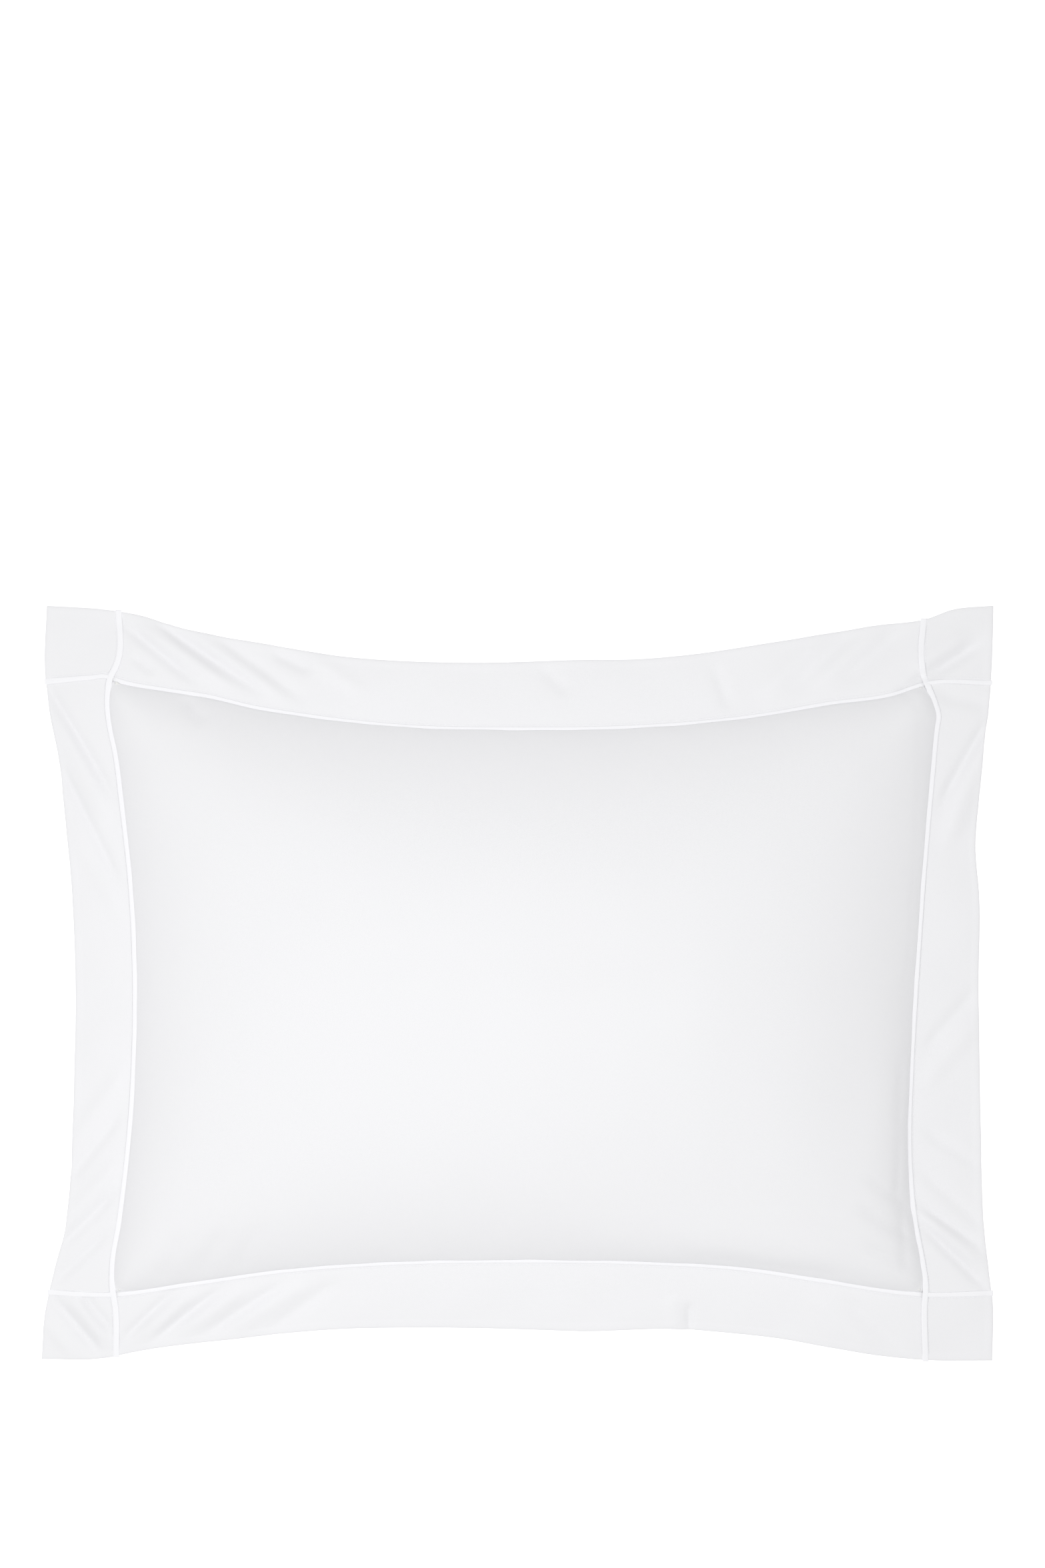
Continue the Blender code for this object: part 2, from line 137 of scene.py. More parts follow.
# Soft folds in the border: from (x, y) to (x, y), half width, and height, below zero for a groove.
BORDER_FOLDS = (
    (-0.296, 0.270, -0.246, 0.229, 0.0042, -0.0030),
    (-0.281, 0.270, -0.222, 0.227, 0.0055, 0.0022),
    (-0.272, 0.271, -0.197, 0.223, 0.0050, -0.0032),
    (-0.246, 0.264, -0.180, 0.219, 0.0065, 0.0020),
    (-0.225, 0.259, -0.165, 0.216, 0.0055, -0.0018),
    (-0.291, 0.247, -0.277, 0.235, 0.0032, -0.0016),
    (-0.184, 0.250, -0.158, 0.237, 0.0042, -0.0018),
    (-0.160, 0.250, -0.120, 0.222, 0.0060, 0.0012),
    (0.292, 0.268, 0.246, 0.229, 0.0080, -0.0018),
    (0.275, 0.268, 0.225, 0.228, 0.0085, 0.0016),
    (0.258, 0.266, 0.205, 0.222, 0.0080, -0.0016),
    (0.232, 0.262, 0.185, 0.220, 0.0080, 0.0014),
    (0.150, 0.240, 0.161, 0.207, 0.0055, -0.0013),
    (0.019, 0.239, 0.038, 0.220, 0.0055, -0.0010),
    (0.303, 0.227, 0.350, 0.258, 0.0060, -0.0042),
    (0.303, 0.240, 0.338, 0.264, 0.0070, 0.0014),
    (0.311, 0.221, 0.356, 0.212, 0.0065, -0.0016),
    (0.288, 0.221, 0.308, 0.232, 0.0038, -0.0028),
    (-0.357, 0.226, -0.307, 0.142, 0.0040, -0.0026),
    (-0.348, 0.196, -0.313, 0.128, 0.0065, 0.0018),
    (-0.346, 0.164, -0.304, 0.080, 0.0040, -0.0022),
    (-0.340, 0.120, -0.300, 0.050, 0.0065, 0.0010),
    (-0.347, -0.200, -0.306, -0.160, 0.0045, -0.0022),
    (-0.345, -0.182, -0.304, -0.138, 0.0060, 0.0016),
    (-0.341, -0.150, -0.302, -0.100, 0.0050, -0.0018),
    (-0.340, -0.125, -0.298, -0.066, 0.0065, 0.0012),
    (-0.350, -0.226, -0.312, -0.190, 0.0045, -0.0016),
    (-0.351, -0.241, -0.319, -0.278, 0.0042, -0.0032),
    (-0.337, -0.240, -0.312, -0.272, 0.0042, 0.0020),
    (-0.329, -0.238, -0.309, -0.262, 0.0035, -0.0022),
    (-0.356, -0.258, -0.336, -0.282, 0.0050, 0.0014),
    (0.356, 0.198, 0.322, 0.138, 0.0045, -0.0026),
    (0.356, 0.184, 0.326, 0.108, 0.0070, 0.0020),
    (0.349, -0.004, 0.309, -0.050, 0.0055, -0.0014),
    (0.349, -0.030, 0.309, -0.075, 0.0070, 0.0012),
    (0.309, -0.112, 0.349, -0.138, 0.0050, -0.0012),
    (0.306, -0.143, 0.352, -0.183, 0.0050, -0.0012),
    (0.303, -0.167, 0.346, -0.196, 0.0038, -0.0022),
    (0.304, -0.175, 0.353, -0.213, 0.0048, 0.0020),
    (0.306, -0.182, 0.353, -0.229, 0.0042, -0.0028),
    (-0.297, -0.268, -0.262, -0.234, 0.0038, -0.0026),
    (-0.284, -0.268, -0.246, -0.234, 0.0045, 0.0018),
    (-0.272, -0.268, -0.226, -0.232, 0.0040, -0.0026),
    (-0.252, -0.264, -0.208, -0.232, 0.0050, 0.0018),
    (-0.236, -0.266, -0.182, -0.230, 0.0045, -0.0022),
    (-0.214, -0.262, -0.162, -0.228, 0.0060, 0.0015),
    (-0.186, -0.262, -0.140, -0.228, 0.0055, -0.0015),
    (0.130, -0.244, 0.131, -0.264, 0.0030, -0.0018),
    (0.116, -0.240, 0.121, -0.262, 0.0060, 0.0014),
    (0.292, -0.275, 0.250, -0.240, 0.0060, -0.0014),
    (0.270, -0.277, 0.225, -0.238, 0.0070, 0.0012),
)

# Creases in the filled body, pressed in from above, the same way.
BODY_FOLDS = (
    (-0.252, 0.214, -0.237, 0.195, 0.0060, -0.0030),
    (-0.268, -0.222, -0.254, -0.190, 0.0060, -0.0020),
    (-0.241, -0.219, -0.222, -0.186, 0.0065, -0.0022),
    (-0.212, -0.214, -0.194, -0.182, 0.0065, -0.0018),
    (0.288, -0.058, 0.286, -0.110, 0.0040, -0.0020),
    (0.287, -0.120, 0.285, -0.160, 0.0040, -0.0025),
    (0.288, -0.170, 0.292, -0.215, 0.0040, -0.0020),
    (0.262, -0.146, 0.296, -0.172, 0.0045, -0.0030),
    (0.258, -0.170, 0.298, -0.194, 0.0045, -0.0034),
    (0.262, -0.196, 0.301, -0.214, 0.0045, -0.0030),
    (0.138, -0.205, 0.240, -0.219, 0.0050, -0.0035),
)

# How far the border's edge droops and ripples, and the ridge over its turned-in edges.
BORDER_DROOP = 0.004
RIPPLE = 0.0009
SEAM_ALLOWANCE = 0.0050
ALLOWANCE_RISE = 0.00035

# The piping. The body's cloth ends under it, this far inside the seam, and the border's a tenth as far.
BAND_WIDTH = 0.0047
BODY_FROM_BAND = 0.0012
UPRIGHT_LIFT = 0.00025
MOST_TILT = 0.0002
BANDS = (
    # name, level, seam, from, to, inward, width seen from above at one end, the middle and the other end
    ("left", False, -1, -2.02, 2.02, (1, 0, 0), (0.0047, 0.0047, 0.0047)),
    ("right", False, 1, -2.02, 2.02, (-1, 0, 0), (0.0047, 0.0043, 0.0047)),
    ("top_left", True, 1, -2.02, -1.01, (0, -1, 0), (0.0047, 0.0040, 0.0032)),
    ("top_middle", True, 1, -0.993, 0.993, (0, -1, 0), (0.0034, 0.0034, 0.0030)),
    ("top_right", True, 1, 1.01, 2.02, (0, -1, 0), (0.003, 0.0034, 0.0038)),
    ("bottom_left", True, -1, -2.02, -1.01, (0, 1, 0), (0.0042, 0.0038, 0.0036)),
    ("bottom_middle", True, -1, -0.993, 0.993, (0, 1, 0), (0.0034, 0.0034, 0.0034)),
    ("bottom_right", True, -1, 1.01, 2.02, (0, 1, 0), (0.0036, 0.0038, 0.0042)),
)
# A band's section: across it and up it, as shares of its width and its thickness.
BAND_SECTION = (
    (-0.5, 0.0), (-0.5, 0.4), (-0.47, 0.75), (-0.4, 0.95), (-0.2, 1.0), (0.2, 1.0), (0.4, 0.95),
    (0.47, 0.75), (0.5, 0.4), (0.5, 0.0), (0.2, 0.0), (-0.2, 0.0),
)
STITCHES_FROM_SEAM = 0.0030

# The insert: its ticking, how far the ticking and the fibre lie inside the sham, and its room over the zip.
TICKING = 0.0006
TICKING_INSET = 0.0014
FILL_INSET = 0.0030
INSERT_HEADROOM = 0.0042

LABEL_THICKNESS = 0.0005

# The nets, and the cloth simulation that fills the body.
CLOTH_STEP = 0.011
FILLING_FRAMES = 15
FILLING_PRESSURE = 2.5
LEAST_FILLING = 0.03
NET_COLUMNS = 244
NET_ROWS = 188
BORDER_RING = 5
BORDER_STEP = 0.0018
BORDER_ROWS = 28
UPPER_BACK_ROWS = 70
LOWER_BACK_ROWS = 26

# The stage. Each light: name, place, width and power.
SKY = 0.665
FLOOR_GLOW = 0.5
LIGHTS = (
    ("top light", (-0.02, 0.0, 2.6), 1.5, 12.7),
    ("near light", (-0.34, -0.14, 1.4), 0.7, 3.4),
)
LIT_POINT = (0, 0, 0.08)
CAMERA_HEIGHT = 2.80
SENSOR = 36.0
VIEW_HEIGHT = 1.189
VIEW_CENTRE = (0.0038, 0.1509)


# ---- Curves and nets ---------------------------------------------------------------------------


def smooth_curve(knots):
    """A smooth curve through (along, value) knots, level past its ends."""
    along = np.array([knot[0] for knot in knots])
    value = np.array([knot[1] for knot in knots])
    slope = np.gradient(value, along)

    def at(x):
        x = np.clip(np.asarray(x, float), along[0], along[-1])
        k = np.clip(np.searchsorted(along, x) - 1, 0, len(along) - 2)
        gap = along[k + 1] - along[k]
        u = (x - along[k]) / gap
        return (
            value[k] * (2 * u**3 - 3 * u**2 + 1)
            + value[k + 1] * (3 * u**2 - 2 * u**3)
            + slope[k] * gap * (u**3 - 2 * u**2 + u)
            + slope[k + 1] * gap * (u**3 - u**2)
        )

    return at


left_band, right_band = smooth_curve(LEFT_BAND), smooth_curve(RIGHT_BAND)
top_band, bottom_band = smooth_curve(TOP_BAND), smooth_curve(BOTTOM_BAND)
left_edge, right_edge = smooth_curve(LEFT_EDGE), smooth_curve(RIGHT_EDGE)
top_edge, bottom_edge = smooth_curve(TOP_EDGE), smooth_curve(BOTTOM_EDGE)


def between(share, low_edge, low, high, high_edge):
    """A value from the four lines that bound the body and its border."""
    inside = low + (high - low) * (np.clip(share, -1, 1) + 1) / 2
    above = np.clip(share - 1, 0, None) * (high_edge - high)
    below = np.clip(-share - 1, 0, None) * (low_edge - low)
    return inside + above + below


def column_x(p, y):
    return between(p, left_edge(y), left_band(y), right_band(y), right_edge(y))


def row_y(q, x):
    return between(q, bottom_edge(x), bottom_band(x), top_band(x), top_edge(x))


def place(p, q):
    """Where a column and a row cross, seen from above."""
    p, q = np.broadcast_arrays(np.asarray(p, float), np.asarray(q, float))
    x, y = p * 0.3, q * 0.2  # a first guess, which each round below brings closer
    for _ in range(12):
        x = column_x(p, y)
        y = row_y(q, x)
    return x, y


def ease(low, high, x):
    """0 up to low, 1 from high, smooth between."""
    u = np.clip((x - low) / (high - low), 0, 1)
    return u * u * (3 - 2 * u)


def folds(x, y, table):
    """The height that the listed folds give at a place."""
    height = np.zeros(np.broadcast(x, y).shape)
    for x0, y0, x1, y1, half_width, rise in table:
        length = math.hypot(x1 - x0, y1 - y0)
        ux, uy = (x1 - x0) / length, (y1 - y0) / length
        along = ((x - x0) * ux + (y - y0) * uy) / length
        aside = (y - y0) * ux - (x - x0) * uy
        taper = ease(-0.2, 0.25, along) * (1 - ease(0.75, 1.2, along))
        height = height + rise * taper * np.exp(-((aside / half_width) ** 2))
    return height


def border_rise(x, y, outside):
    """How far the border lies over its level height. outside is 0 at the seams and 1 at the edge."""
    waves = (
        np.sin(41 * x + 23 * y + 0.7)
        + np.sin(67 * y - 31 * x + 2.1)
        + 0.6 * np.sin(97 * x + 71 * y + 4.0)
        + 0.6 * np.sin(113 * y - 83 * x)
    )
    free = 0.45 + 0.55 * ease(0.0, 0.35, outside)
    side = np.clip(1 - np.abs(x) / 0.33, 0, 1) + np.clip(1 - np.abs(y) / 0.25, 0, 1)
    droop = -BORDER_DROOP * outside**1.5 * (0.35 + 0.65 * np.clip(side, 0, 1))
    depth = bpy.context.scene.pillow_sizes.fold_depth
    return depth * folds(x, y, BORDER_FOLDS) * free + RIPPLE * waves / 2 * ease(0.0, 1.0, outside) + droop


def past(p, q):
    """How far outside the seams, from 0 to 1, and how far inside the outer edge, in metres."""
    outside = np.maximum(np.abs(p), np.abs(q)) - 1
    return np.clip(outside, 0, 1), (1 - np.clip(outside, 0, 1)) * BORDER_WIDTH


def turned_in(inside):
    """1 over the allowance that is turned in at the outer edge, 0 elsewhere."""
    return 1 - ease(SEAM_ALLOWANCE - 0.0004, SEAM_ALLOWANCE + 0.0006, inside)


def border_points(p, q, level, allowance):
    """Points on the border, at this level, with the turned-in allowance standing out of it."""
    x, y = place(p, q)
    outside, inside = past(p, q)
    ridge = allowance * turned_in(inside)
    rounded = -0.6 * allowance * (1 - ease(0.0, 0.0009, inside))
    return np.stack([x, y, level + border_rise(x, y, outside) + ridge + rounded], axis=-1)


def flat_place(p, q):
    """The same place on the cloth before it was sewn and filled, in metres."""
    half = []
    for share, size in ((p, PANEL_LENGTH), (q, PANEL_WIDTH)):
        inside = np.clip(share, -1, 1)
        half.append(inside * size / 2 + (share - inside) * BORDER_WIDTH)
    return np.stack(np.broadcast_arrays(*half), axis=-1)


# ---- The filled body ---------------------------------------------------------------------------


def spline_weights(count, finer):
    """Weights that lay finer + 1 points on a smooth curve guided by count + 1 points."""
    weights = np.zeros((finer + 1, count + 3))
    for k in range(finer + 1):
        at = k * count / finer
        base = min(int(at), count - 1)
        u = at - base
        weights[k, base : base + 4] = (
            (1 - u) ** 3 / 6,
            (3 * u**3 - 6 * u**2 + 4) / 6,
            (-3 * u**3 + 3 * u**2 + 3 * u + 1) / 6,
            u**3 / 6,
        )
    middle = weights[:, 1:-1].copy()
    middle[:, 0] += 2 * weights[:, 0]
    middle[:, 1] -= weights[:, 0]
    middle[:, -1] += 2 * weights[:, -1]
    middle[:, -2] -= weights[:, -1]
    return middle


def finer_net(net, columns, rows):
    across = spline_weights(net.shape[0] - 1, columns)
    along = spline_weights(net.shape[1] - 1, rows)
    return np.einsum("ki,ijc,lj->klc", across, net, along)


def shares(count):
    return np.linspace(-1, 1, count + 1)


def cloth_lines(size, count):
    """Where the lines of points lie across the flat cloth: the border, the panel, the border."""
    half = size / 2
    return np.concatenate([
        np.linspace(-half - BORDER_WIDTH, -half, BORDER_RING + 1)[:-1],
        np.linspace(-half, half, count + 1),
        np.linspace(half, half + BORDER_WIDTH, BORDER_RING + 1)[1:],
    ])


def simulated_filling(columns, rows):
    """Two sewn panels with a border round them, blown up as cloth: the front's net and the back's."""
    ring = BORDER_RING
    xs, ys = cloth_lines(PANEL_LENGTH, columns), cloth_lines(PANEL_WIDTH, rows)
    points, index = [], {}

    def corner(side, i, j):
        inside = ring < i < ring + columns and ring < j < ring + rows
        key = (side if inside else 0, i, j)
        if key not in index:
            s, t = (i - ring) / columns, (j - ring) / rows
            bulge = 0.01 * min(1.0, 16 * s * (1 - s) * t * (1 - t)) ** 0.5 if inside else 0.0
            index[key] = len(points)
            points.append((xs[i], ys[j], -bulge if side else bulge))
        return index[key]

    faces = []
    for i in range(len(xs) - 1):
        for j in range(len(ys) - 1):
            around = ((i, j), (i + 1, j), (i + 1, j + 1), (i, j + 1))
            faces.append([corner(0, *at) for at in around])
            if ring <= i < ring + columns and ring <= j < ring + rows:
                faces.append([corner(1, *at) for at in (around[0], around[3], around[2], around[1])])
    mesh = bpy.data.meshes.new("filling")
    mesh.from_pydata(points, [], faces)
    obj = link(bpy.data.objects.new("filling", mesh))
    pocket, border = obj.vertex_groups.new(name="pocket"), obj.vertex_groups.new(name="border")
    for (_, i, j), k in index.items():
        if ring <= i <= ring + columns and ring <= j <= ring + rows:
            pocket.add([k], 1.0, "REPLACE")
        if not (ring < i < ring + columns and ring < j < ring + rows):
            border.add([k], 1.0, "REPLACE")
    found = blown_up(obj)
    bpy.data.objects.remove(obj)
    bpy.data.meshes.remove(mesh)
    nets = []
    for side in (0, 1):
        net = np.empty((columns + 1, rows + 1, 3))
        for i in range(columns + 1):
            for j in range(rows + 1):
                edge = i in (0, columns) or j in (0, rows)
                net[i, j] = found[index[(0 if edge else side, i + ring, j + ring)]]
        nets.append(net)
    if abs(nets[0][columns // 2, rows // 2, 2]) < LEAST_FILLING:
        raise RuntimeError("the simulated pillow didn't fill")
    return nets


def blown_up(obj):
    """Where the points of the sewn cloth are once its pocket is blown up."""
    cloth = obj.modifiers.new("cloth", "CLOTH")
    settings = cloth.settings
    settings.quality = 6
    settings.mass = 0.3
    settings.air_damping = 3
    settings.bending_model = "ANGULAR"
    settings.tension_stiffness = settings.tension_stiffness_max = 40
    settings.compression_stiffness, settings.compression_stiffness_max = 10, 20
    settings.shear_stiffness = 5
    settings.bending_stiffness, settings.bending_stiffness_max = 2, 6
    settings.tension_damping = settings.compression_damping = settings.shear_damping = 15
    settings.bending_damping = 0.5
    settings.vertex_group_bending = settings.vertex_group_structural_stiffness = "border"
    settings.use_pressure = True
    settings.uniform_pressure_force = FILLING_PRESSURE
    settings.vertex_group_pressure = "pocket"
    settings.effector_weights.gravity = 0
    cloth.collision_settings.use_collision = False
    cloth.collision_settings.use_self_collision = False
    cloth.point_cache.frame_end = FILLING_FRAMES + 1
    for step in range(1, FILLING_FRAMES + 1):
        bpy.context.scene.frame_set(step)
    shaped = obj.evaluated_get(bpy.context.evaluated_depsgraph_get()).data
    flat = np.empty(len(shaped.vertices) * 3, np.float32)
    shaped.vertices.foreach_get("co", flat)
    bpy.context.scene.frame_set(1)
    return flat.reshape(-1, 3).astype(float)


def fit_edges(net, edge):
    """Moves the net so that its four edges lie on those of the other net, by a share inside it."""
    columns, rows = net.shape[0] - 1, net.shape[1] - 1
    u = np.linspace(0, 1, columns + 1)[:, None, None]
    v = np.linspace(0, 1, rows + 1)[None, :, None]
    off = edge - net
    left, right, low, high = off[:1], off[-1:], off[:, :1], off[:, -1:]
    sides = left * (1 - u) + right * u + low * (1 - v) + high * v
    corners = (
        off[0, 0] * (1 - u) * (1 - v)
        + off[-1, 0] * u * (1 - v)
        + off[0, -1] * (1 - u) * v
        + off[-1, -1] * u * v
    )
    return net + sides - corners


def soften_foot(x, y, height, slope):
    """Keeps the filling from standing up steeply at its seams, except where it bulges over one."""
    aside = np.minimum(x - left_band(y), right_band(y) - x)
    along = np.minimum(y - bottom_band(x), top_band(x) - y)
    aside, along = np.maximum(aside, 1e-6), np.maximum(along, 1e-6)
    inside = (aside**-4 + along**-4) ** -0.25
    steeper = 1 + 0.02 * ease(0.1, 0.3, x) + 0.15 * ease(0.05, 0.2, -y)
    for at_x, at_y, reach_x, reach_y, more in BULGES:
        steeper = steeper + more * np.exp(-(((x - at_x) / reach_x) ** 2) - ((y - at_y) / reach_y) ** 2)
    steep = slope * steeper * inside
    full = np.maximum(height, 1e-6)
    softened = (full**-3 + steep**-3) ** (-1 / 3)
    return softened * height.max() / softened.max()


@functools.lru_cache
def filled_body():
    """The front and the back of the filled body, as fine nets of points."""
    coarse = (round(PANEL_LENGTH / CLOTH_STEP), round(PANEL_WIDTH / CLOTH_STEP))
    made = simulated_filling(*coarse)
    p, q = np.meshgrid(shares(NET_COLUMNS), shares(NET_ROWS), indexing="ij")
    front, back = (finer_net(net, NET_COLUMNS, NET_ROWS) for net in made)
    front[..., 2] *= bpy.context.scene.pillow_sizes.crown / front[..., 2].max()
    inner_p, inner_q = (1 - BODY_FROM_BAND / half for half in DRAWN_IN)
    edge = border_points(p * inner_p, q * inner_q, BORDER_HEIGHT, 0.0)
    front[..., 2] += BORDER_HEIGHT
    front = fit_edges(front, edge)
    x, y = front[..., 0], front[..., 1]
    front[..., 2] = BORDER_HEIGHT + soften_foot(x, y, front[..., 2] - BORDER_HEIGHT, FRONT_SLOPE)
    front = fit_edges(front, edge)
    front[..., 2] += folds(front[..., 0], front[..., 1], BODY_FOLDS)

    back[..., 2] *= BELLY / -back[..., 2].min()
    back[..., 2] = -soften_foot(*place(p, q), -back[..., 2], BACK_SLOPE)
    back = fit_edges(back, border_points(p, q, SEAM_HEIGHT, 0.0))
    over = back[..., 2]
    back[..., 2] = CLOTH + (over + np.sqrt(over**2 + RESTING**2)) / 2
    back[..., 2] += zip_bed(back[..., 0], back[..., 1]) * (ZIP_HEIGHT - back[..., 2])
    return front, back


def zip_bed(x, y):
    """1 where the cloth lies flat beside the zip, 0 away from it."""
    return (1 - ease(0.014, 0.034, np.abs(y - ZIP_Y))) * (1 - ease(ZIP_END, ZIP_FADE, np.abs(x)))


# ---- Making meshes -----------------------------------------------------------------------------


def link(obj):
    bpy.context.scene.collection.objects.link(obj)
    return obj


def mesh_object(name, points, faces, uvs, material):
    """A smooth-shaded mesh. uvs are one place on the flat cloth for each point."""
    mesh = bpy.data.meshes.new(name)
    mesh.from_pydata(points.tolist(), [], faces)
    mesh.materials.append(material)
    corner_points = np.empty(len(mesh.loops), np.int32)
    mesh.loops.foreach_get("vertex_index", corner_points)
    layer = mesh.uv_layers.new(name="cloth")
    layer.data.foreach_set("uv", uvs[corner_points].astype(np.float32).ravel())
    mesh.polygons.foreach_set("use_smooth", [True] * len(mesh.polygons))
    mesh.update()
    return link(bpy.data.objects.new(name, mesh))


def numbered(net):
    """The number of each point of a net."""
    columns, rows = net.shape[:2]
    return np.arange(columns * rows).reshape(columns, rows)


def quads(index, face_up=True):
    """The faces of a net, from the numbers of its points."""
    a, b, c, d = index[:-1, :-1], index[1:, :-1], index[1:, 1:], index[:-1, 1:]
    return np.stack([a, b, c, d] if face_up else [a, d, c, b], axis=-1).reshape(-1, 4).tolist()


def net_object(name, net, uvs, material, thickness, face_up=True):
    """A sheet laid over a net of points, with its thickness on the outer side."""
    faces = quads(numbered(net), face_up)
    obj = mesh_object(name, net.reshape(-1, 3), faces, uvs.reshape(-1, 2), material)
    shell = obj.modifiers.new("thickness", "SOLIDIFY")
    shell.thickness = thickness
    shell.offset = 1.0
    crisp = obj.modifiers.new("crisp rim", "WEIGHTED_NORMAL")
    crisp.weight = 100
    return obj


def closed_net(name, net, uvs, material):
    """A closed tube over a net whose rows go round it, with a cap at each end."""
    index = numbered(net)
    ahead = np.roll(index, -1, axis=1)
    sides = np.stack([index[:-1], ahead[:-1], ahead[1:], index[1:]], axis=-1).reshape(-1, 4).tolist()
    caps = [index[0][::-1].tolist(), index[-1].tolist()]
    obj = mesh_object(name, net.reshape(-1, 3), sides + caps, uvs.reshape(-1, 2), material)
    outward(obj.data)
    return obj


def outward(mesh, merge=0.0):
    """Turns a closed mesh's faces outwards, once points nearer than merge are made one."""
    shape = bmesh.new()
    shape.from_mesh(mesh)
    if merge:
        bmesh.ops.remove_doubles(shape, verts=shape.verts, dist=merge)
    bmesh.ops.recalc_face_normals(shape, faces=shape.faces)
    shape.to_mesh(mesh)
    shape.free()


def normals(net):
    """The way out of a net at each of its points."""
    across = np.gradient(net, axis=0)
    along = np.gradient(net, axis=1)
    out = np.cross(across, along)
    return out / np.maximum(np.linalg.norm(out, axis=-1, keepdims=True), 1e-12)


def finish_piece(obj, body, part):
    """Hangs a piece on its body's empty, and hides the part that it stands in for."""
    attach(obj, body)
    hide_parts(part)


# ---- Materials ---------------------------------------------------------------------------------


def node(tree, kind, **values):
    made = tree.nodes.new(kind)
    for key, value in values.items():
        setattr(made, key, value)
    return made


def maths(tree, operation, first, second=None):
    made = node(tree, "ShaderNodeMath", operation=operation)
    for socket, value in zip(made.inputs, (first, second)):
        if isinstance(value, bpy.types.NodeSocket):
            tree.links.new(value, socket)
        elif value is not None:
            socket.default_value = value
    return made.outputs[0]


@functools.lru_cache
def weave_group():
    """Threads that pass over and under each other, a little uneven, as a height and a shade."""
    tree = bpy.data.node_groups.new("plain weave", "ShaderNodeTree")
    new = tree.interface.new_socket
    new("Place", in_out="INPUT", socket_type="NodeSocketVector")
    pitch = new("Thread Spacing", in_out="INPUT", socket_type="NodeSocketFloat")
    pitch.default_value = 0.0005
    slub = new("Unevenness", in_out="INPUT", socket_type="NodeSocketFloat")
    slub.default_value = 0.3
    new("Height", in_out="OUTPUT", socket_type="NodeSocketFloat")
    new("Shade", in_out="OUTPUT", socket_type="NodeSocketFloat")
    entry, result = node(tree, "NodeGroupInput"), node(tree, "NodeGroupOutput")
    split = node(tree, "ShaderNodeSeparateXYZ")
    tree.links.new(entry.outputs["Place"], split.inputs[0])
    turns = maths(tree, "DIVIDE", math.pi, entry.outputs["Thread Spacing"])
    across = maths(tree, "SINE", maths(tree, "MULTIPLY", split.outputs["X"], turns))
    along = maths(tree, "SINE", maths(tree, "MULTIPLY", split.outputs["Y"], turns))
    crossing = maths(tree, "MULTIPLY", across, along)
    uneven = node(tree, "ShaderNodeTexNoise")
    uneven.inputs["Scale"].default_value = 420.0
    uneven.inputs["Detail"].default_value = 3.0
    tree.links.new(entry.outputs["Place"], uneven.inputs["Vector"])
    rough = maths(tree, "MULTIPLY", uneven.outputs["Fac"], entry.outputs["Unevenness"])
    height = maths(tree, "ADD", maths(tree, "MULTIPLY", crossing, 0.5), rough)
    tree.links.new(height, result.inputs["Height"])
    broad = node(tree, "ShaderNodeTexNoise")
    broad.inputs["Scale"].default_value = 14.0
    broad.inputs["Detail"].default_value = 4.0
    tree.links.new(entry.outputs["Place"], broad.inputs["Vector"])
    shade = maths(tree, "ADD", maths(tree, "MULTIPLY", broad.outputs["Fac"], 0.6), rough)
    tree.links.new(shade, result.inputs["Shade"])
    return tree


def new_material(name):
    """A material and its shader node."""
    material = bpy.data.materials.new(name)
    material.use_nodes = True
    return material, material.node_tree.nodes["Principled BSDF"]


def dress(tree, shader, shade, height, colours, relief, depth, roughness, unevenness):
    """Leads a shade and a height to a shader's colour, relief and roughness."""
    tint = node(tree, "ShaderNodeMix", data_type="RGBA")
    ends = [socket for socket in tint.inputs if socket.type == "RGBA"]
    for socket, colour in zip(ends, colours):
        socket.default_value = (*colour, 1)
    tree.links.new(shade, tint.inputs[0])
    mixed = [socket for socket in tint.outputs if socket.type == "RGBA"]
    tree.links.new(mixed[0], shader.inputs["Base Color"])
    bump = node(tree, "ShaderNodeBump")
    bump.inputs["Strength"].default_value = relief
    bump.inputs["Distance"].default_value = depth
    tree.links.new(height, bump.inputs["Height"])
    tree.links.new(bump.outputs["Normal"], shader.inputs["Normal"])
    worn = maths(tree, "ADD", maths(tree, "MULTIPLY", shade, unevenness), roughness)
    tree.links.new(worn, shader.inputs["Roughness"])


def cloth_material(name, colour, darker, spacing, relief, roughness, sheen):
    """Woven cloth: its colour varies a little, and its threads stand out of it."""
    material, shader = new_material(name)
    tree = material.node_tree
    where = node(tree, "ShaderNodeTexCoord")
    weave = node(tree, "ShaderNodeGroup", node_tree=weave_group())
    weave.inputs["Thread Spacing"].default_value = spacing
    tree.links.new(where.outputs["UV"], weave.inputs["Place"])
    shade, height = weave.outputs["Shade"], weave.outputs["Height"]
    dress(tree, shader, shade, height, (darker, colour), relief, 0.00012, roughness - 0.04, 0.1)
    shader.inputs["Sheen Weight"].default_value = sheen
    shader.inputs["Sheen Roughness"].default_value = 0.45
    shader.inputs["Specular IOR Level"].default_value = 0.25
    return material


def surface_material(name, colour, darker, scale, relief, roughness, coat=0.0):
    """A moulded, drawn or lacquered surface: fine grain in its colour, its relief and its gloss."""
    material, shader = new_material(name)
    tree = material.node_tree
    where = node(tree, "ShaderNodeTexCoord")
    grain = node(tree, "ShaderNodeTexNoise")
    grain.inputs["Scale"].default_value = scale
    grain.inputs["Detail"].default_value = 5.0
    tree.links.new(where.outputs["Object"], grain.inputs["Vector"])
    fine = grain.outputs["Fac"]
    dress(tree, shader, fine, fine, (darker, colour), relief, 0.0002, roughness - 0.08, 0.16)
    shader.inputs["Coat Weight"].default_value = coat
    return material


def shaded(colour, share):
    return tuple(value * share for value in colour)


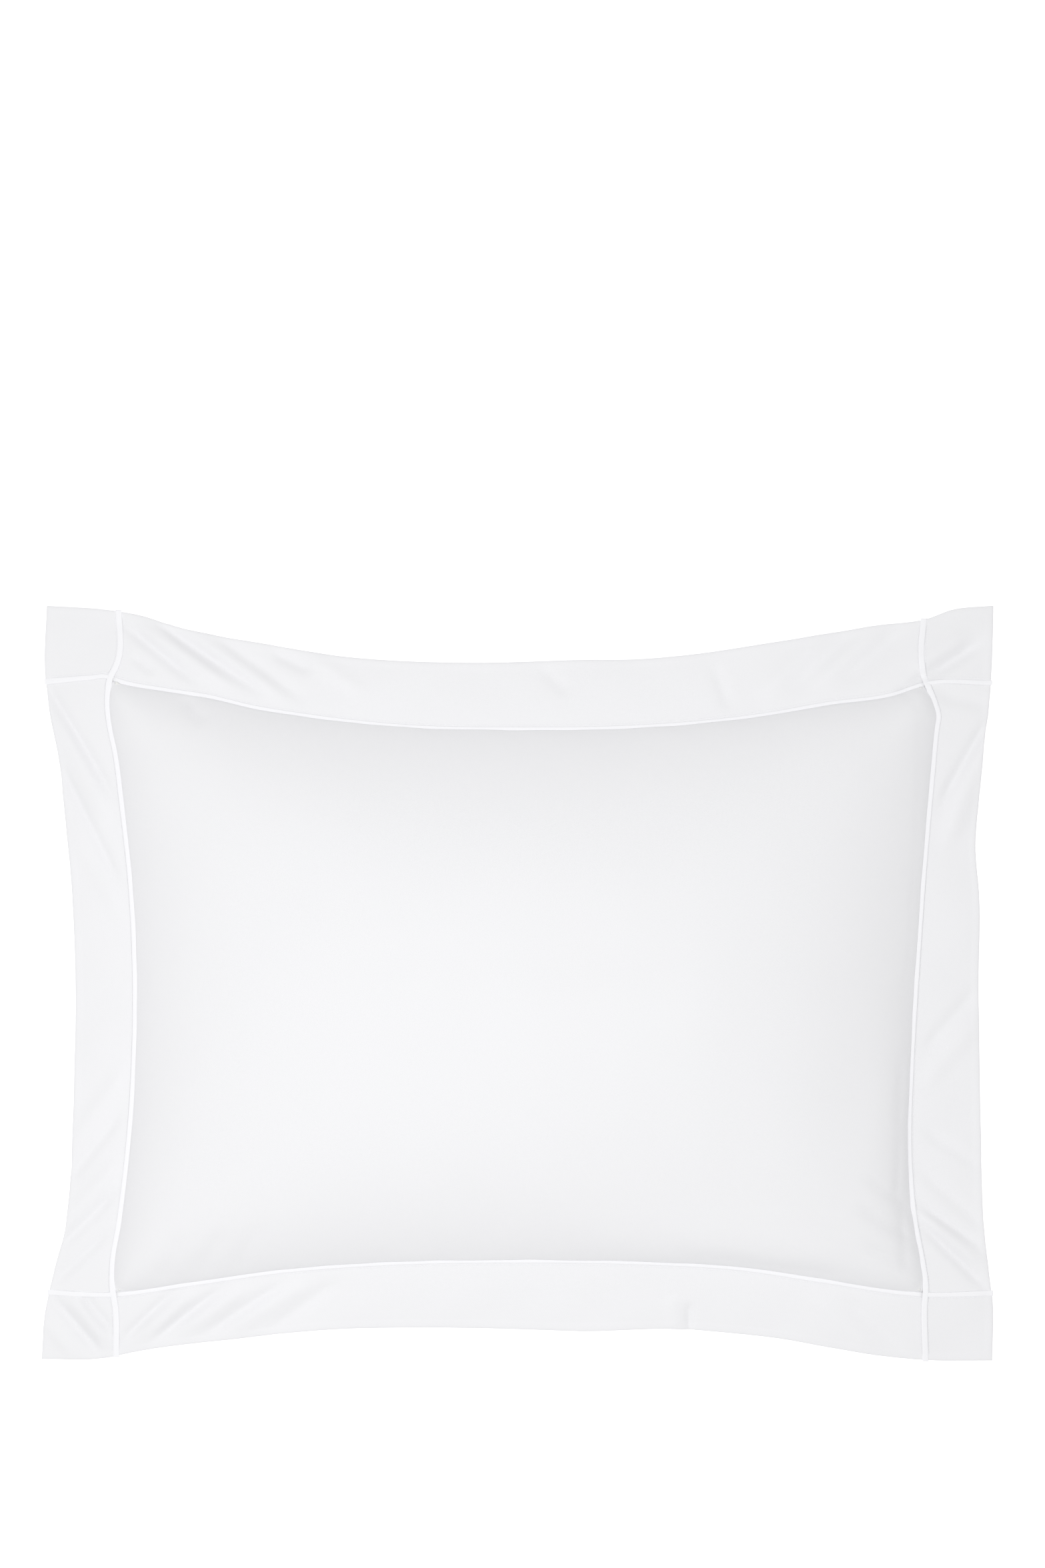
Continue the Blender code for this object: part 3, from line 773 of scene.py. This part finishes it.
@functools.lru_cache
def look(name):
    """The material of this name, made when it is first asked for."""
    colours = bpy.context.scene.pillow_colours
    cloth, band = tuple(colours.cloth), tuple(colours.piping)
    ticking, metal = tuple(colours.ticking), tuple(colours.metal)
    if name == "sham_cotton":
        return cloth_material("white percale", cloth, shaded(cloth, 0.975), 0.00045, 0.35, 0.78, 0.10)
    if name == "piping_cotton":
        return cloth_material("white piping tape", band, shaded(band, 0.975), 0.0005, 0.4, 0.72, 0.10)
    if name == "ticking_cotton":
        return cloth_material("insert ticking", ticking, shaded(ticking, 0.93), 0.0008, 0.6, 0.85, 0.1)
    if name == "label_satin":
        return cloth_material("label satin", band, shaded(band, 0.95), 0.0003, 0.3, 0.45, 0.3)
    if name == "zip_tape":
        return cloth_material("zip tape", cloth, shaded(cloth, 0.9), 0.0007, 0.8, 0.7, 0.1)
    if name == "fibre_fill":
        return surface_material("polyester fibre", cloth, shaded(cloth, 0.85), 320.0, 1.0, 0.95)
    if name == "zip_nylon":
        return surface_material("nylon coil", cloth, shaded(cloth, 0.95), 900.0, 0.2, 0.35)
    if name == "zip_metal":
        return surface_material("lacquered zinc", metal, shaded(metal, 0.94), 700.0, 0.15, 0.32, 0.4)
    if name == "thread":
        return surface_material("sewing thread", band, shaded(band, 0.9), 2500.0, 0.8, 0.6)
    raise KeyError(name)


# ---- Stitches and teeth, by geometry nodes -----------------------------------------------------


def group_input(tree, name, kind, value=None):
    """Gives a tree a named input, and returns the identifier that a modifier knows it by."""
    socket = tree.interface.new_socket(name, in_out="INPUT", socket_type=kind)
    if value is not None:
        socket.default_value = value
    return socket.identifier


def spaced_line(tree, entry, pitch):
    """Starts a tree: points along its line, one to each pitch."""
    curve = node(tree, "GeometryNodeMeshToCurve")
    spaced = node(tree, "GeometryNodeResampleCurve", mode="LENGTH")
    tree.links.new(entry.outputs["Line"], curve.inputs["Mesh"])
    tree.links.new(curve.outputs[0], spaced.inputs["Curve"])
    tree.links.new(entry.outputs[pitch], spaced.inputs["Length"])
    return spaced


@functools.lru_cache
def stitch_tree():
    """Stitches laid end to end along a line, each a short rounded length of thread."""
    tree = bpy.data.node_groups.new("row of stitches", "GeometryNodeTree")
    keys = {
        "line": group_input(tree, "Line", "NodeSocketGeometry"),
        "pitch": group_input(tree, "Stitch Pitch", "NodeSocketFloat", 0.003),
        "length": group_input(tree, "Stitch Length", "NodeSocketFloat", 0.0023),
        "thread": group_input(tree, "Thread Width", "NodeSocketFloat", 0.0004),
        "material": group_input(tree, "Material", "NodeSocketMaterial"),
    }
    tree.interface.new_socket("Stitches", in_out="OUTPUT", socket_type="NodeSocketGeometry")
    entry, result = node(tree, "NodeGroupInput"), node(tree, "NodeGroupOutput")
    spaced = spaced_line(tree, entry, "Stitch Pitch")
    bead = node(tree, "GeometryNodeMeshUVSphere")
    bead.inputs["Segments"].default_value = 6
    bead.inputs["Rings"].default_value = 5
    bead.inputs["Radius"].default_value = 0.5
    size = node(tree, "ShaderNodeCombineXYZ")
    for socket, source in zip(size.inputs, ("Stitch Length", "Thread Width", "Thread Width")):
        tree.links.new(entry.outputs[source], socket)
    tangent = node(tree, "GeometryNodeInputTangent")
    turn = node(tree, "FunctionNodeAlignRotationToVector", axis="X")
    tree.links.new(tangent.outputs[0], turn.inputs["Vector"])
    spread = node(tree, "GeometryNodeInstanceOnPoints")
    tree.links.new(spaced.outputs[0], spread.inputs["Points"])
    tree.links.new(bead.outputs["Mesh"], spread.inputs["Instance"])
    tree.links.new(turn.outputs["Rotation"], spread.inputs["Rotation"])
    tree.links.new(size.outputs[0], spread.inputs["Scale"])
    finish_tree(tree, spread.outputs[0], entry, result)
    return tree, keys


def finish_tree(tree, made, entry, result):
    """Ends a tree: its copies made real, shaded smooth and given their material."""
    real = node(tree, "GeometryNodeRealizeInstances")
    smooth = node(tree, "GeometryNodeSetShadeSmooth")
    paint = node(tree, "GeometryNodeSetMaterial")
    tree.links.new(made, real.inputs[0])
    tree.links.new(real.outputs[0], smooth.inputs[0])
    tree.links.new(smooth.outputs[0], paint.inputs["Geometry"])
    tree.links.new(entry.outputs["Material"], paint.inputs["Material"])
    tree.links.new(paint.outputs[0], result.inputs[0])


@functools.lru_cache
def coil_tree():
    """Turns of a moulded coil, side by side along a line: each is one loop of round nylon."""
    tree = bpy.data.node_groups.new("zip coil", "GeometryNodeTree")
    keys = {
        "line": group_input(tree, "Line", "NodeSocketGeometry"),
        "pitch": group_input(tree, "Turn Pitch", "NodeSocketFloat", 0.0013),
        "width": group_input(tree, "Loop Width", "NodeSocketFloat", 0.0015),
        "height": group_input(tree, "Loop Height", "NodeSocketFloat", 0.0011),
        "nylon": group_input(tree, "Nylon Radius", "NodeSocketFloat", 0.00025),
        "material": group_input(tree, "Material", "NodeSocketMaterial"),
    }
    tree.interface.new_socket("Coil", in_out="OUTPUT", socket_type="NodeSocketGeometry")
    entry, result = node(tree, "NodeGroupInput"), node(tree, "NodeGroupOutput")
    spaced = spaced_line(tree, entry, "Turn Pitch")
    ring = node(tree, "GeometryNodeCurvePrimitiveCircle")
    ring.inputs["Resolution"].default_value = 10
    ring.inputs["Radius"].default_value = 0.5
    size = node(tree, "ShaderNodeCombineXYZ")
    tree.links.new(entry.outputs["Loop Height"], size.inputs["X"])
    tree.links.new(entry.outputs["Loop Width"], size.inputs["Y"])
    size.inputs["Z"].default_value = 1.0
    stand = node(tree, "GeometryNodeTransform")
    stand.inputs["Rotation"].default_value = (0.0, math.pi / 2, 0.12)
    tree.links.new(ring.outputs[0], stand.inputs["Geometry"])
    tree.links.new(size.outputs[0], stand.inputs["Scale"])
    section = node(tree, "GeometryNodeCurvePrimitiveCircle")
    section.inputs["Resolution"].default_value = 5
    tree.links.new(entry.outputs["Nylon Radius"], section.inputs["Radius"])
    loop = node(tree, "GeometryNodeCurveToMesh")
    tree.links.new(stand.outputs[0], loop.inputs["Curve"])
    tree.links.new(section.outputs[0], loop.inputs["Profile Curve"])
    spread = node(tree, "GeometryNodeInstanceOnPoints")
    tree.links.new(spaced.outputs[0], spread.inputs["Points"])
    tree.links.new(loop.outputs[0], spread.inputs["Instance"])
    finish_tree(tree, spread.outputs[0], entry, result)
    return tree, keys


def run_tree(name, lines, tree_and_keys, values):
    """Runs a tree on lines of points, and keeps what it makes as a plain mesh."""
    tree, keys = tree_and_keys
    mesh = bpy.data.meshes.new(name + " line")
    edges, start = [], 0
    for line in lines:
        edges += [(start + k, start + k + 1) for k in range(len(line) - 1)]
        start += len(line)
    mesh.from_pydata(np.concatenate(lines).tolist(), edges, [])
    guide = link(bpy.data.objects.new(name + " line", mesh))
    modifier = guide.modifiers.new("made", "NODES")
    modifier.node_group = tree
    for key, value in values.items():
        modifier[keys[key]] = value
    graph = bpy.context.evaluated_depsgraph_get()
    made = bpy.data.meshes.new_from_object(guide.evaluated_get(graph), depsgraph=graph)
    if not made.polygons:
        raise RuntimeError(f"{name}: its tree made nothing")
    bpy.data.objects.remove(guide)
    made.name = name
    return link(bpy.data.objects.new(name, made))


# ---- The pieces --------------------------------------------------------------------------------


def make_front_panel():
    """The crowned front panel."""
    front, _ = filled_body()
    p, q = np.meshgrid(shares(NET_COLUMNS), shares(NET_ROWS), indexing="ij")
    obj = net_object("front_cloth", front, flat_place(p, q), look("sham_cotton"), CLOTH)
    finish_piece(obj, "pillow", "front_panel")


def back_panel(sign):
    """One back panel's net, from the zip to the outer edge. sign is 1 for the upper one."""
    _, back = filled_body()
    body = shares(NET_COLUMNS)
    side = np.linspace(1, 2, BORDER_ROWS + 1)[1:]
    columns = np.concatenate([-side[::-1], body, side])
    steps = ease_rows(UPPER_BACK_ROWS if sign > 0 else LOWER_BACK_ROWS)
    outer = np.linspace(1, 2, BORDER_ROWS + 1)[1:]
    net = np.empty((len(columns), len(steps) + len(outer), 3))
    rows = np.empty(net.shape[:2])
    for i, p in enumerate(columns):
        x, seam = (float(v) for v in place(p, sign))
        open_lip = ZIP_LIP * (1 - ease(ZIP_END - 0.012, ZIP_END, abs(x)))
        lip = ZIP_Y + sign * max(float(open_lip), SEAM_GAP)
        y = lip + (seam - lip) * steps
        if abs(p) <= 1:
            line = back[i - BORDER_ROWS]
            x = np.interp(y, line[:, 1], line[:, 0])
            z = np.interp(y, line[:, 1], line[:, 2])
            row = np.interp(y, line[:, 1], shares(NET_ROWS))
        else:
            x = column_x(p, y)
            outside, inside = past(p, 0.0)
            z = SEAM_HEIGHT + border_rise(x, y, outside) - ALLOWANCE_RISE * turned_in(inside)
            row = y / abs(seam)
        net[i, : len(steps)] = np.stack([x, y, z], axis=-1)
        rows[i, : len(steps)] = row
        net[i, len(steps) :] = border_points(p, sign * outer, SEAM_HEIGHT, -ALLOWANCE_RISE)
        rows[i, len(steps) :] = sign * outer
    return net, flat_place(columns[:, None], rows)


def ease_rows(count):
    """Shares from 0 to 1, closer together towards the seam."""
    u = np.linspace(0, 1, count + 1)
    return u * (1 + 0.35 * (1 - u))


def make_back_panels():
    for name, sign in (("lower", -1), ("upper", 1)):
        net, uvs = back_panel(sign)
        made = net_object(f"back_cloth_{name}", net, uvs, look("sham_cotton"), CLOTH, face_up=sign < 0)
        finish_piece(made, "pillow", f"back_panel_{name}")


def make_border():
    """The border's four sides, which run a little way under the piping, and its four corners."""
    body = np.linspace(-1, 1, round(PANEL_LENGTH / BORDER_STEP) + 1)
    upright = np.linspace(-1, 1, round(PANEL_WIDTH / BORDER_STEP) + 1)
    corner = np.linspace(1, 2, BORDER_ROWS + 1)
    out = np.concatenate([[1 - 0.1 * BODY_FROM_BAND / BORDER_WIDTH], corner])
    for name, columns, rows in (
        ("left", -out[::-1], upright),
        ("right", out, upright),
        ("bottom", body, -out[::-1]),
        ("top", body, out),
    ):
        add_border_piece(f"border_{name}", columns, rows)
    for up, rows in (("bottom", -corner[::-1]), ("top", corner)):
        for across, columns in (("left", -corner[::-1]), ("right", corner)):
            add_border_piece(f"corner_{up}_{across}", columns, rows)


def add_border_piece(name, columns, rows):
    p, q = np.meshgrid(columns, rows, indexing="ij")
    net = border_points(p, q, BORDER_HEIGHT, ALLOWANCE_RISE)
    uvs = flat_place(p, q)
    made = net_object(f"{name}_cloth", net, uvs, look("sham_cotton"), CLOTH)
    finish_piece(made, "pillow", name)


def band_net(points, side, widths):
    """A flat folded band along a line of points. side is the way across it, towards the body. Where it
    is seen narrower than it is, its inner side stands up a little against the body."""
    seen = np.interp(np.linspace(0, 1, len(points)), (0, 0.5, 1), widths)
    lift = np.minimum(np.sqrt(np.maximum(BAND_WIDTH**2 - seen**2, 0)), MOST_TILT)
    thickness = bpy.context.scene.pillow_sizes.piping_thickness
    net = np.empty((len(points), len(BAND_SECTION), 3))
    along = np.gradient(points, axis=0)
    along /= np.linalg.norm(along, axis=1, keepdims=True)
    up = np.array([0.0, 0.0, 1.0])
    inward = side - along * (along @ side)[:, None]
    inward /= np.linalg.norm(inward, axis=1, keepdims=True)
    for k, (u, v) in enumerate(BAND_SECTION):
        tilt = (u + 0.5) * lift
        net[:, k] = points + inward * (u * seen)[:, None] + up * (v * thickness + tilt)[:, None]
    length = np.concatenate([[0], np.cumsum(np.linalg.norm(np.diff(points, axis=0), axis=1))])
    across = np.array([u * BAND_WIDTH for u, _ in BAND_SECTION])
    return net, np.stack(np.broadcast_arrays(length[:, None], across[None, :]), axis=-1)


def band_line(level, share, low, high):
    """Points along a row (or an upright column), from low to high, on top of the border."""
    steps = np.arange(0, 1.0001, 1 / max(8, round((high - low) * 0.28 / 0.003)))
    way = low + (high - low) * steps
    other = np.full_like(way, share)
    p, q = (way, other) if level else (other, way)
    return border_points(p, q, BORDER_HEIGHT + CLOTH, 0.0)


def make_piping():
    for name, level, seam, low, high, inward, widths in BANDS:
        line = band_line(level, seam, low, high)
        if not level:
            line[:, 2] += UPRIGHT_LIFT
        net, uvs = band_net(line, np.array(inward, float), widths)
        made = closed_net(f"band_{name}", net, uvs, look("piping_cotton"))
        finish_piece(made, "pillow", f"piping_{name}")


def make_stitching():
    """A row of stitches beside each band, on the border's side, and one on each side of the zip."""
    sunk = 0.00005
    bands = []
    for _, level, seam, low, high, _, _ in BANDS:
        aside = seam * (1 + STITCHES_FROM_SEAM / BORDER_WIDTH)
        line = band_line(level, aside, max(low, -1.98), min(high, 1.98))
        line[:, 2] += sunk
        bands.append(line)
    lips = []
    for y in (ZIP_Y - ZIP_LIP - 0.0022, ZIP_Y + ZIP_LIP + 0.0022):
        x = np.linspace(-0.203, 0.203, 160)
        lips.append(np.stack([x, np.full_like(x, y), np.full_like(x, ZIP_HEIGHT - CLOTH - sunk)], axis=-1))
    sizes = bpy.context.scene.pillow_sizes
    values = {
        "pitch": sizes.stitch_pitch,
        "length": sizes.stitch_length,
        "thread": sizes.thread_width,
        "material": look("thread"),
    }
    for name, lines in (("piping_stitches", bands), ("zip_stitches", lips)):
        made = run_tree(name, lines, stitch_tree(), values)
        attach(made, "pillow")


def inner_net(net, sign, inset, p, q):
    """A net that lies inside the sham's. sign is -1 for the front and 1 for the back."""
    moved = net + sign * normals(net) * inset
    reach = np.maximum(np.abs(p), np.abs(q))[..., None]
    moved[..., :2] *= 1 - 9 * inset * reach**2
    moved[..., 2] = np.minimum(moved[..., 2] * -sign, net[..., 2] * -sign - 0.6 * inset) * -sign
    if sign > 0:
        moved[..., 2] += INSERT_HEADROOM * zip_bed(moved[..., 0] * 0.95, moved[..., 1])
    return moved


def make_insert():
    """The ticking's front and back, and the fibre between them."""
    front, back = (net[::2, ::2] for net in filled_body())
    p, q = np.meshgrid(shares(NET_COLUMNS // 2), shares(NET_ROWS // 2), indexing="ij")
    uvs = flat_place(p, q)
    for name, part, net, sign in (
        ("ticking_face", "ticking_front", front, -1),
        ("ticking_back_cloth", "ticking_back", back, 1),
    ):
        inner = inner_net(net, sign, TICKING_INSET, p, q)
        made = net_object(name, inner, uvs, look("ticking_cotton"), -TICKING, face_up=sign < 0)
        finish_piece(made, "pillow", part)
    over = inner_net(front, -1, FILL_INSET, p, q)
    under = inner_net(back, 1, FILL_INSET, p, q)
    under[0], under[-1] = over[0], over[-1]
    under[:, 0], under[:, -1] = over[:, 0], over[:, -1]
    index = numbered(over)
    points = np.concatenate([over.reshape(-1, 3), under.reshape(-1, 3)])
    faces = quads(index) + quads(index + index.size, face_up=False)
    both = np.concatenate([uvs.reshape(-1, 2)] * 2)
    fibre = mesh_object("fibre", points, faces, both, look("fibre_fill"))
    outward(fibre.data, merge=0.00001)
    finish_piece(fibre, "pillow", "fill")


def make_label():
    """A blank ribbon, sewn under the border, that hangs a little and ripples."""
    low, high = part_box("care_label")
    x = np.linspace(low.x, high.x, 18)
    y = np.linspace(high.y, low.y, 12)
    gx, gy = np.meshgrid(x, y, indexing="ij")
    reach = (high.y - gy) / (high.y - low.y)
    outside = np.clip((np.abs(gy) - np.abs(bottom_band(gx))) / BORDER_WIDTH, 0, 1)
    z = SEAM_HEIGHT + border_rise(gx, gy, outside) - CLOTH - 0.0004 - 0.004 * reach**2
    z -= 0.0006 * np.sin(gx * 180) * reach
    uvs = np.stack([gx, gy], axis=-1)
    net = np.stack([gx, gy, z], axis=-1)
    made = net_object("label_ribbon", net, uvs, look("label_satin"), LABEL_THICKNESS)
    finish_piece(made, "pillow", "care_label")


def make_zip_chain():
    """The two tapes, and the coil on each."""
    for name, side in (("lower", -1), ("upper", 1)):
        low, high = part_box(f"zip_tape_{name}")
        x = np.linspace(low.x, high.x, 180)
        y = np.linspace(low.y, high.y, 9)
        gx, gy = np.meshgrid(x, y, indexing="ij")
        far = np.abs(gy - (high.y if side > 0 else low.y)) / (high.y - low.y)
        z = low.z + 0.00012 * np.cos(gy * 2400) + 0.00015 * np.sin(gx * 60) * (1 - far)
        uvs = np.stack([gx, gy], axis=-1)
        net = np.stack([gx, gy, z], axis=-1)
        made = net_object(f"tape_{name}", net, uvs, look("zip_tape"), TAPE_THICKNESS)
        finish_piece(made, "pillow", f"zip_tape_{name}")
        low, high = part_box(f"zip_coil_{name}")
        middle_y, middle_z = (low.y + high.y) / 2, (low.z + high.z) / 2
        line = np.array([[low.x + 0.0008, middle_y, middle_z], [high.x - 0.0008, middle_y, middle_z]])
        values = {
            "pitch": COIL_PITCH,
            "width": high.y - low.y - 2 * NYLON_RADIUS,
            "height": high.z - low.z - 2 * NYLON_RADIUS,
            "nylon": NYLON_RADIUS,
            "material": look("zip_nylon"),
        }
        coil = run_tree(f"coil_{name}", [line], coil_tree(), values)
        finish_piece(coil, "pillow", f"zip_coil_{name}")


def make_zip_metal():
    """The stops, the slider and the pull, with their edges rounded."""
    for source, body, radius in (
        ("zip_top_stop_lower", "pillow", 0.0004),
        ("zip_top_stop_upper", "pillow", 0.0004),
        ("zip_bottom_stop", "pillow", 0.0004),
        ("zip_slider", "zip_slider", 0.0003),
        ("zip_pull", "zip_pull", 0.00025),
    ):
        shape = bmesh.new()
        shape.from_mesh(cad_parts[source].data)
        bmesh.ops.remove_doubles(shape, verts=shape.verts, dist=0.000001)
        bmesh.ops.dissolve_limit(
            shape, angle_limit=0.01, verts=shape.verts, edges=shape.edges, use_dissolve_boundaries=False
        )
        mesh = bpy.data.meshes.new(f"{source}_metal")
        shape.to_mesh(mesh)
        shape.free()
        mesh.materials.clear()
        mesh.materials.append(look("zip_metal"))
        made = link(bpy.data.objects.new(f"{source}_metal", mesh))
        edge = made.modifiers.new("rounded edges", "BEVEL")
        edge.width = radius
        edge.segments = 3
        edge.limit_method = "ANGLE"
        for face in mesh.polygons:
            face.use_smooth = True
        mesh.set_sharp_from_angle(angle=0.6)
        finish_piece(made, body, source)


def make_stage():
    """A white floor, a bright even sky, two soft lights, and a camera straight above."""
    scene = bpy.context.scene
    scene.view_settings.view_transform = "Standard"
    scene.view_settings.look = "None"
    floor_shape = bmesh.new()
    bmesh.ops.create_grid(floor_shape, x_segments=8, y_segments=8, size=6.0)
    mesh = bpy.data.meshes.new("floor")
    floor_shape.to_mesh(mesh)
    floor_shape.free()
    floor = link(bpy.data.objects.new("floor", mesh))
    mesh.transform(Matrix.Translation((0, 0, -0.0005)))
    white, shader = new_material("white floor")
    shader.inputs["Base Color"].default_value = (0.9, 0.9, 0.9, 1)
    shader.inputs["Roughness"].default_value = 0.9
    shader.inputs["Emission Color"].default_value = (1, 1, 1, 1)
    shader.inputs["Emission Strength"].default_value = FLOOR_GLOW
    mesh.materials.append(white)

    world = bpy.data.worlds.new("studio")
    scene.world = world
    world.use_nodes = True
    sky = world.node_tree.nodes["Background"]
    sky.inputs["Color"].default_value = (1.0, 1.0, 1.0, 1)
    sky.inputs["Strength"].default_value = SKY

    for name, at, size, power in LIGHTS:
        lamp = bpy.data.lights.new(name, "AREA")
        lamp.shape = "DISK"
        lamp.size = size
        lamp.energy = power
        light = link(bpy.data.objects.new(name, lamp))
        light.location = at
        light.visible_camera = False
        light.rotation_euler = (Vector(LIT_POINT) - Vector(at)).to_track_quat("-Z", "Y").to_euler()

    data = bpy.data.cameras.new("camera")
    data.sensor_fit = "VERTICAL"
    data.sensor_height = SENSOR
    data.sensor_width = SENSOR
    data.lens = SENSOR * (CAMERA_HEIGHT - SEAM_HEIGHT) / VIEW_HEIGHT
    data.shift_x = VIEW_CENTRE[0] / VIEW_HEIGHT
    data.shift_y = VIEW_CENTRE[1] / VIEW_HEIGHT
    data.clip_start = 0.05
    data.clip_end = 50
    camera = link(bpy.data.objects.new("camera", data))
    camera.location = (0, 0, CAMERA_HEIGHT)
    scene.camera = camera


# ---- The add-on --------------------------------------------------------------------------------


class PillowColours(bpy.types.PropertyGroup):
    cloth: FloatVectorProperty(
        name="Cloth", description="Colour of the sham's cotton", default=(0.90, 0.90, 0.915),
        subtype="COLOR", min=0, max=1,
    )
    piping: FloatVectorProperty(
        name="Piping", description="Colour of the flat piping and the thread", default=(0.96, 0.96, 0.98),
        subtype="COLOR", min=0, max=1,
    )
    ticking: FloatVectorProperty(
        name="Ticking", description="Colour of the insert's cover", default=(0.88, 0.88, 0.86),
        subtype="COLOR", min=0, max=1,
    )
    metal: FloatVectorProperty(
        name="Metal", description="Colour of the lacquered zip parts", default=(0.86, 0.86, 0.88),
        subtype="COLOR", min=0, max=1,
    )


class PillowSizes(bpy.types.PropertyGroup):
    crown: FloatProperty(
        name="Crown", description="How far the filled front stands over the border", default=0.0965,
        min=0.03, max=0.12, subtype="DISTANCE", unit="LENGTH",
    )
    piping_thickness: FloatProperty(
        name="Piping thickness", description="How far the piping stands over the cloth", default=0.0008,
        min=0.0003, max=0.003, subtype="DISTANCE", unit="LENGTH",
    )
    fold_depth: FloatProperty(
        name="Fold depth", description="How deep the border's folds are, as a share of their listed depth",
        default=1.35, min=0, max=3,
    )
    stitch_pitch: FloatProperty(
        name="Stitch pitch", description="From one stitch to the next", default=0.0026, min=0.001,
        subtype="DISTANCE", unit="LENGTH",
    )
    stitch_length: FloatProperty(
        name="Stitch length", description="Length of thread seen in one stitch", default=0.0021, min=0.0005,
        subtype="DISTANCE", unit="LENGTH",
    )
    thread_width: FloatProperty(
        name="Thread width", description="Width of the sewing thread", default=0.00036, min=0.0001,
        subtype="DISTANCE", unit="LENGTH",
    )


class PILLOW_OT_front(bpy.types.Operator):
    """Make the crowned front panel"""

    bl_idname = "pillow.front"
    bl_label = "Front panel"
    bl_options = {"REGISTER", "UNDO"}

    def execute(self, context):
        make_front_panel()
        return {"FINISHED"}


class PILLOW_OT_back(bpy.types.Operator):
    """Make the two back panels, which also line the border"""

    bl_idname = "pillow.back"
    bl_label = "Back panels"
    bl_options = {"REGISTER", "UNDO"}

    def execute(self, context):
        make_back_panels()
        return {"FINISHED"}


class PILLOW_OT_border(bpy.types.Operator):
    """Make the flat border's four sides and four corners"""

    bl_idname = "pillow.border"
    bl_label = "Border"
    bl_options = {"REGISTER", "UNDO"}

    def execute(self, context):
        make_border()
        return {"FINISHED"}


class PILLOW_OT_piping(bpy.types.Operator):
    """Make the eight lengths of flat piping"""

    bl_idname = "pillow.piping"
    bl_label = "Piping"
    bl_options = {"REGISTER", "UNDO"}

    def execute(self, context):
        make_piping()
        return {"FINISHED"}


class PILLOW_OT_stitching(bpy.types.Operator):
    """Sew the stitches beside the piping and the zip"""

    bl_idname = "pillow.stitching"
    bl_label = "Stitching"
    bl_options = {"REGISTER", "UNDO"}

    def execute(self, context):
        make_stitching()
        return {"FINISHED"}


class PILLOW_OT_insert(bpy.types.Operator):
    """Make the insert: two pieces of ticking round the fibre"""

    bl_idname = "pillow.insert"
    bl_label = "Insert"
    bl_options = {"REGISTER", "UNDO"}

    def execute(self, context):
        make_insert()
        return {"FINISHED"}


class PILLOW_OT_label(bpy.types.Operator):
    """Make the blank care label under the border"""

    bl_idname = "pillow.label"
    bl_label = "Care label"
    bl_options = {"REGISTER", "UNDO"}

    def execute(self, context):
        make_label()
        return {"FINISHED"}


class PILLOW_OT_zip_chain(bpy.types.Operator):
    """Make the zip's tapes and coils"""

    bl_idname = "pillow.zip_chain"
    bl_label = "Zip tapes and coils"
    bl_options = {"REGISTER", "UNDO"}

    def execute(self, context):
        make_zip_chain()
        return {"FINISHED"}


class PILLOW_OT_zip_metal(bpy.types.Operator):
    """Make the zip's stops, slider and pull"""

    bl_idname = "pillow.zip_metal"
    bl_label = "Zip stops, slider and pull"
    bl_options = {"REGISTER", "UNDO"}

    def execute(self, context):
        make_zip_metal()
        return {"FINISHED"}


class PILLOW_OT_stage(bpy.types.Operator):
    """Set up the floor, the light and the camera"""

    bl_idname = "pillow.stage"
    bl_label = "Stage"
    bl_options = {"REGISTER", "UNDO"}

    def execute(self, context):
        make_stage()
        return {"FINISHED"}


OPERATORS = (
    PILLOW_OT_front,
    PILLOW_OT_back,
    PILLOW_OT_border,
    PILLOW_OT_piping,
    PILLOW_OT_stitching,
    PILLOW_OT_insert,
    PILLOW_OT_label,
    PILLOW_OT_zip_chain,
    PILLOW_OT_zip_metal,
    PILLOW_OT_stage,
)


class PILLOW_PT_parts(bpy.types.Panel):
    bl_label = "Bed pillow"
    bl_space_type = "VIEW_3D"
    bl_region_type = "UI"
    bl_category = "Pillow"

    def draw(self, context):
        sizes, colours = context.scene.pillow_sizes, context.scene.pillow_colours
        for group in (sizes, colours):
            for name in type(group).__annotations__:
                self.layout.prop(group, name)
        for operator in OPERATORS:
            self.layout.operator(operator.bl_idname)


CLASSES = (PillowColours, PillowSizes, *OPERATORS, PILLOW_PT_parts)


def register():
    for cls in CLASSES:
        bpy.utils.register_class(cls)
    bpy.types.Scene.pillow_colours = PointerProperty(type=PillowColours)
    bpy.types.Scene.pillow_sizes = PointerProperty(type=PillowSizes)


def unregister():
    del bpy.types.Scene.pillow_colours, bpy.types.Scene.pillow_sizes
    for cls in reversed(CLASSES):
        bpy.utils.unregister_class(cls)


def main():
    """Makes every piece and the stage."""
    register()
    for operator in OPERATORS:
        group, name = operator.bl_idname.split(".")
        getattr(getattr(bpy.ops, group), name)()


if __name__ == "__main__":
    main()
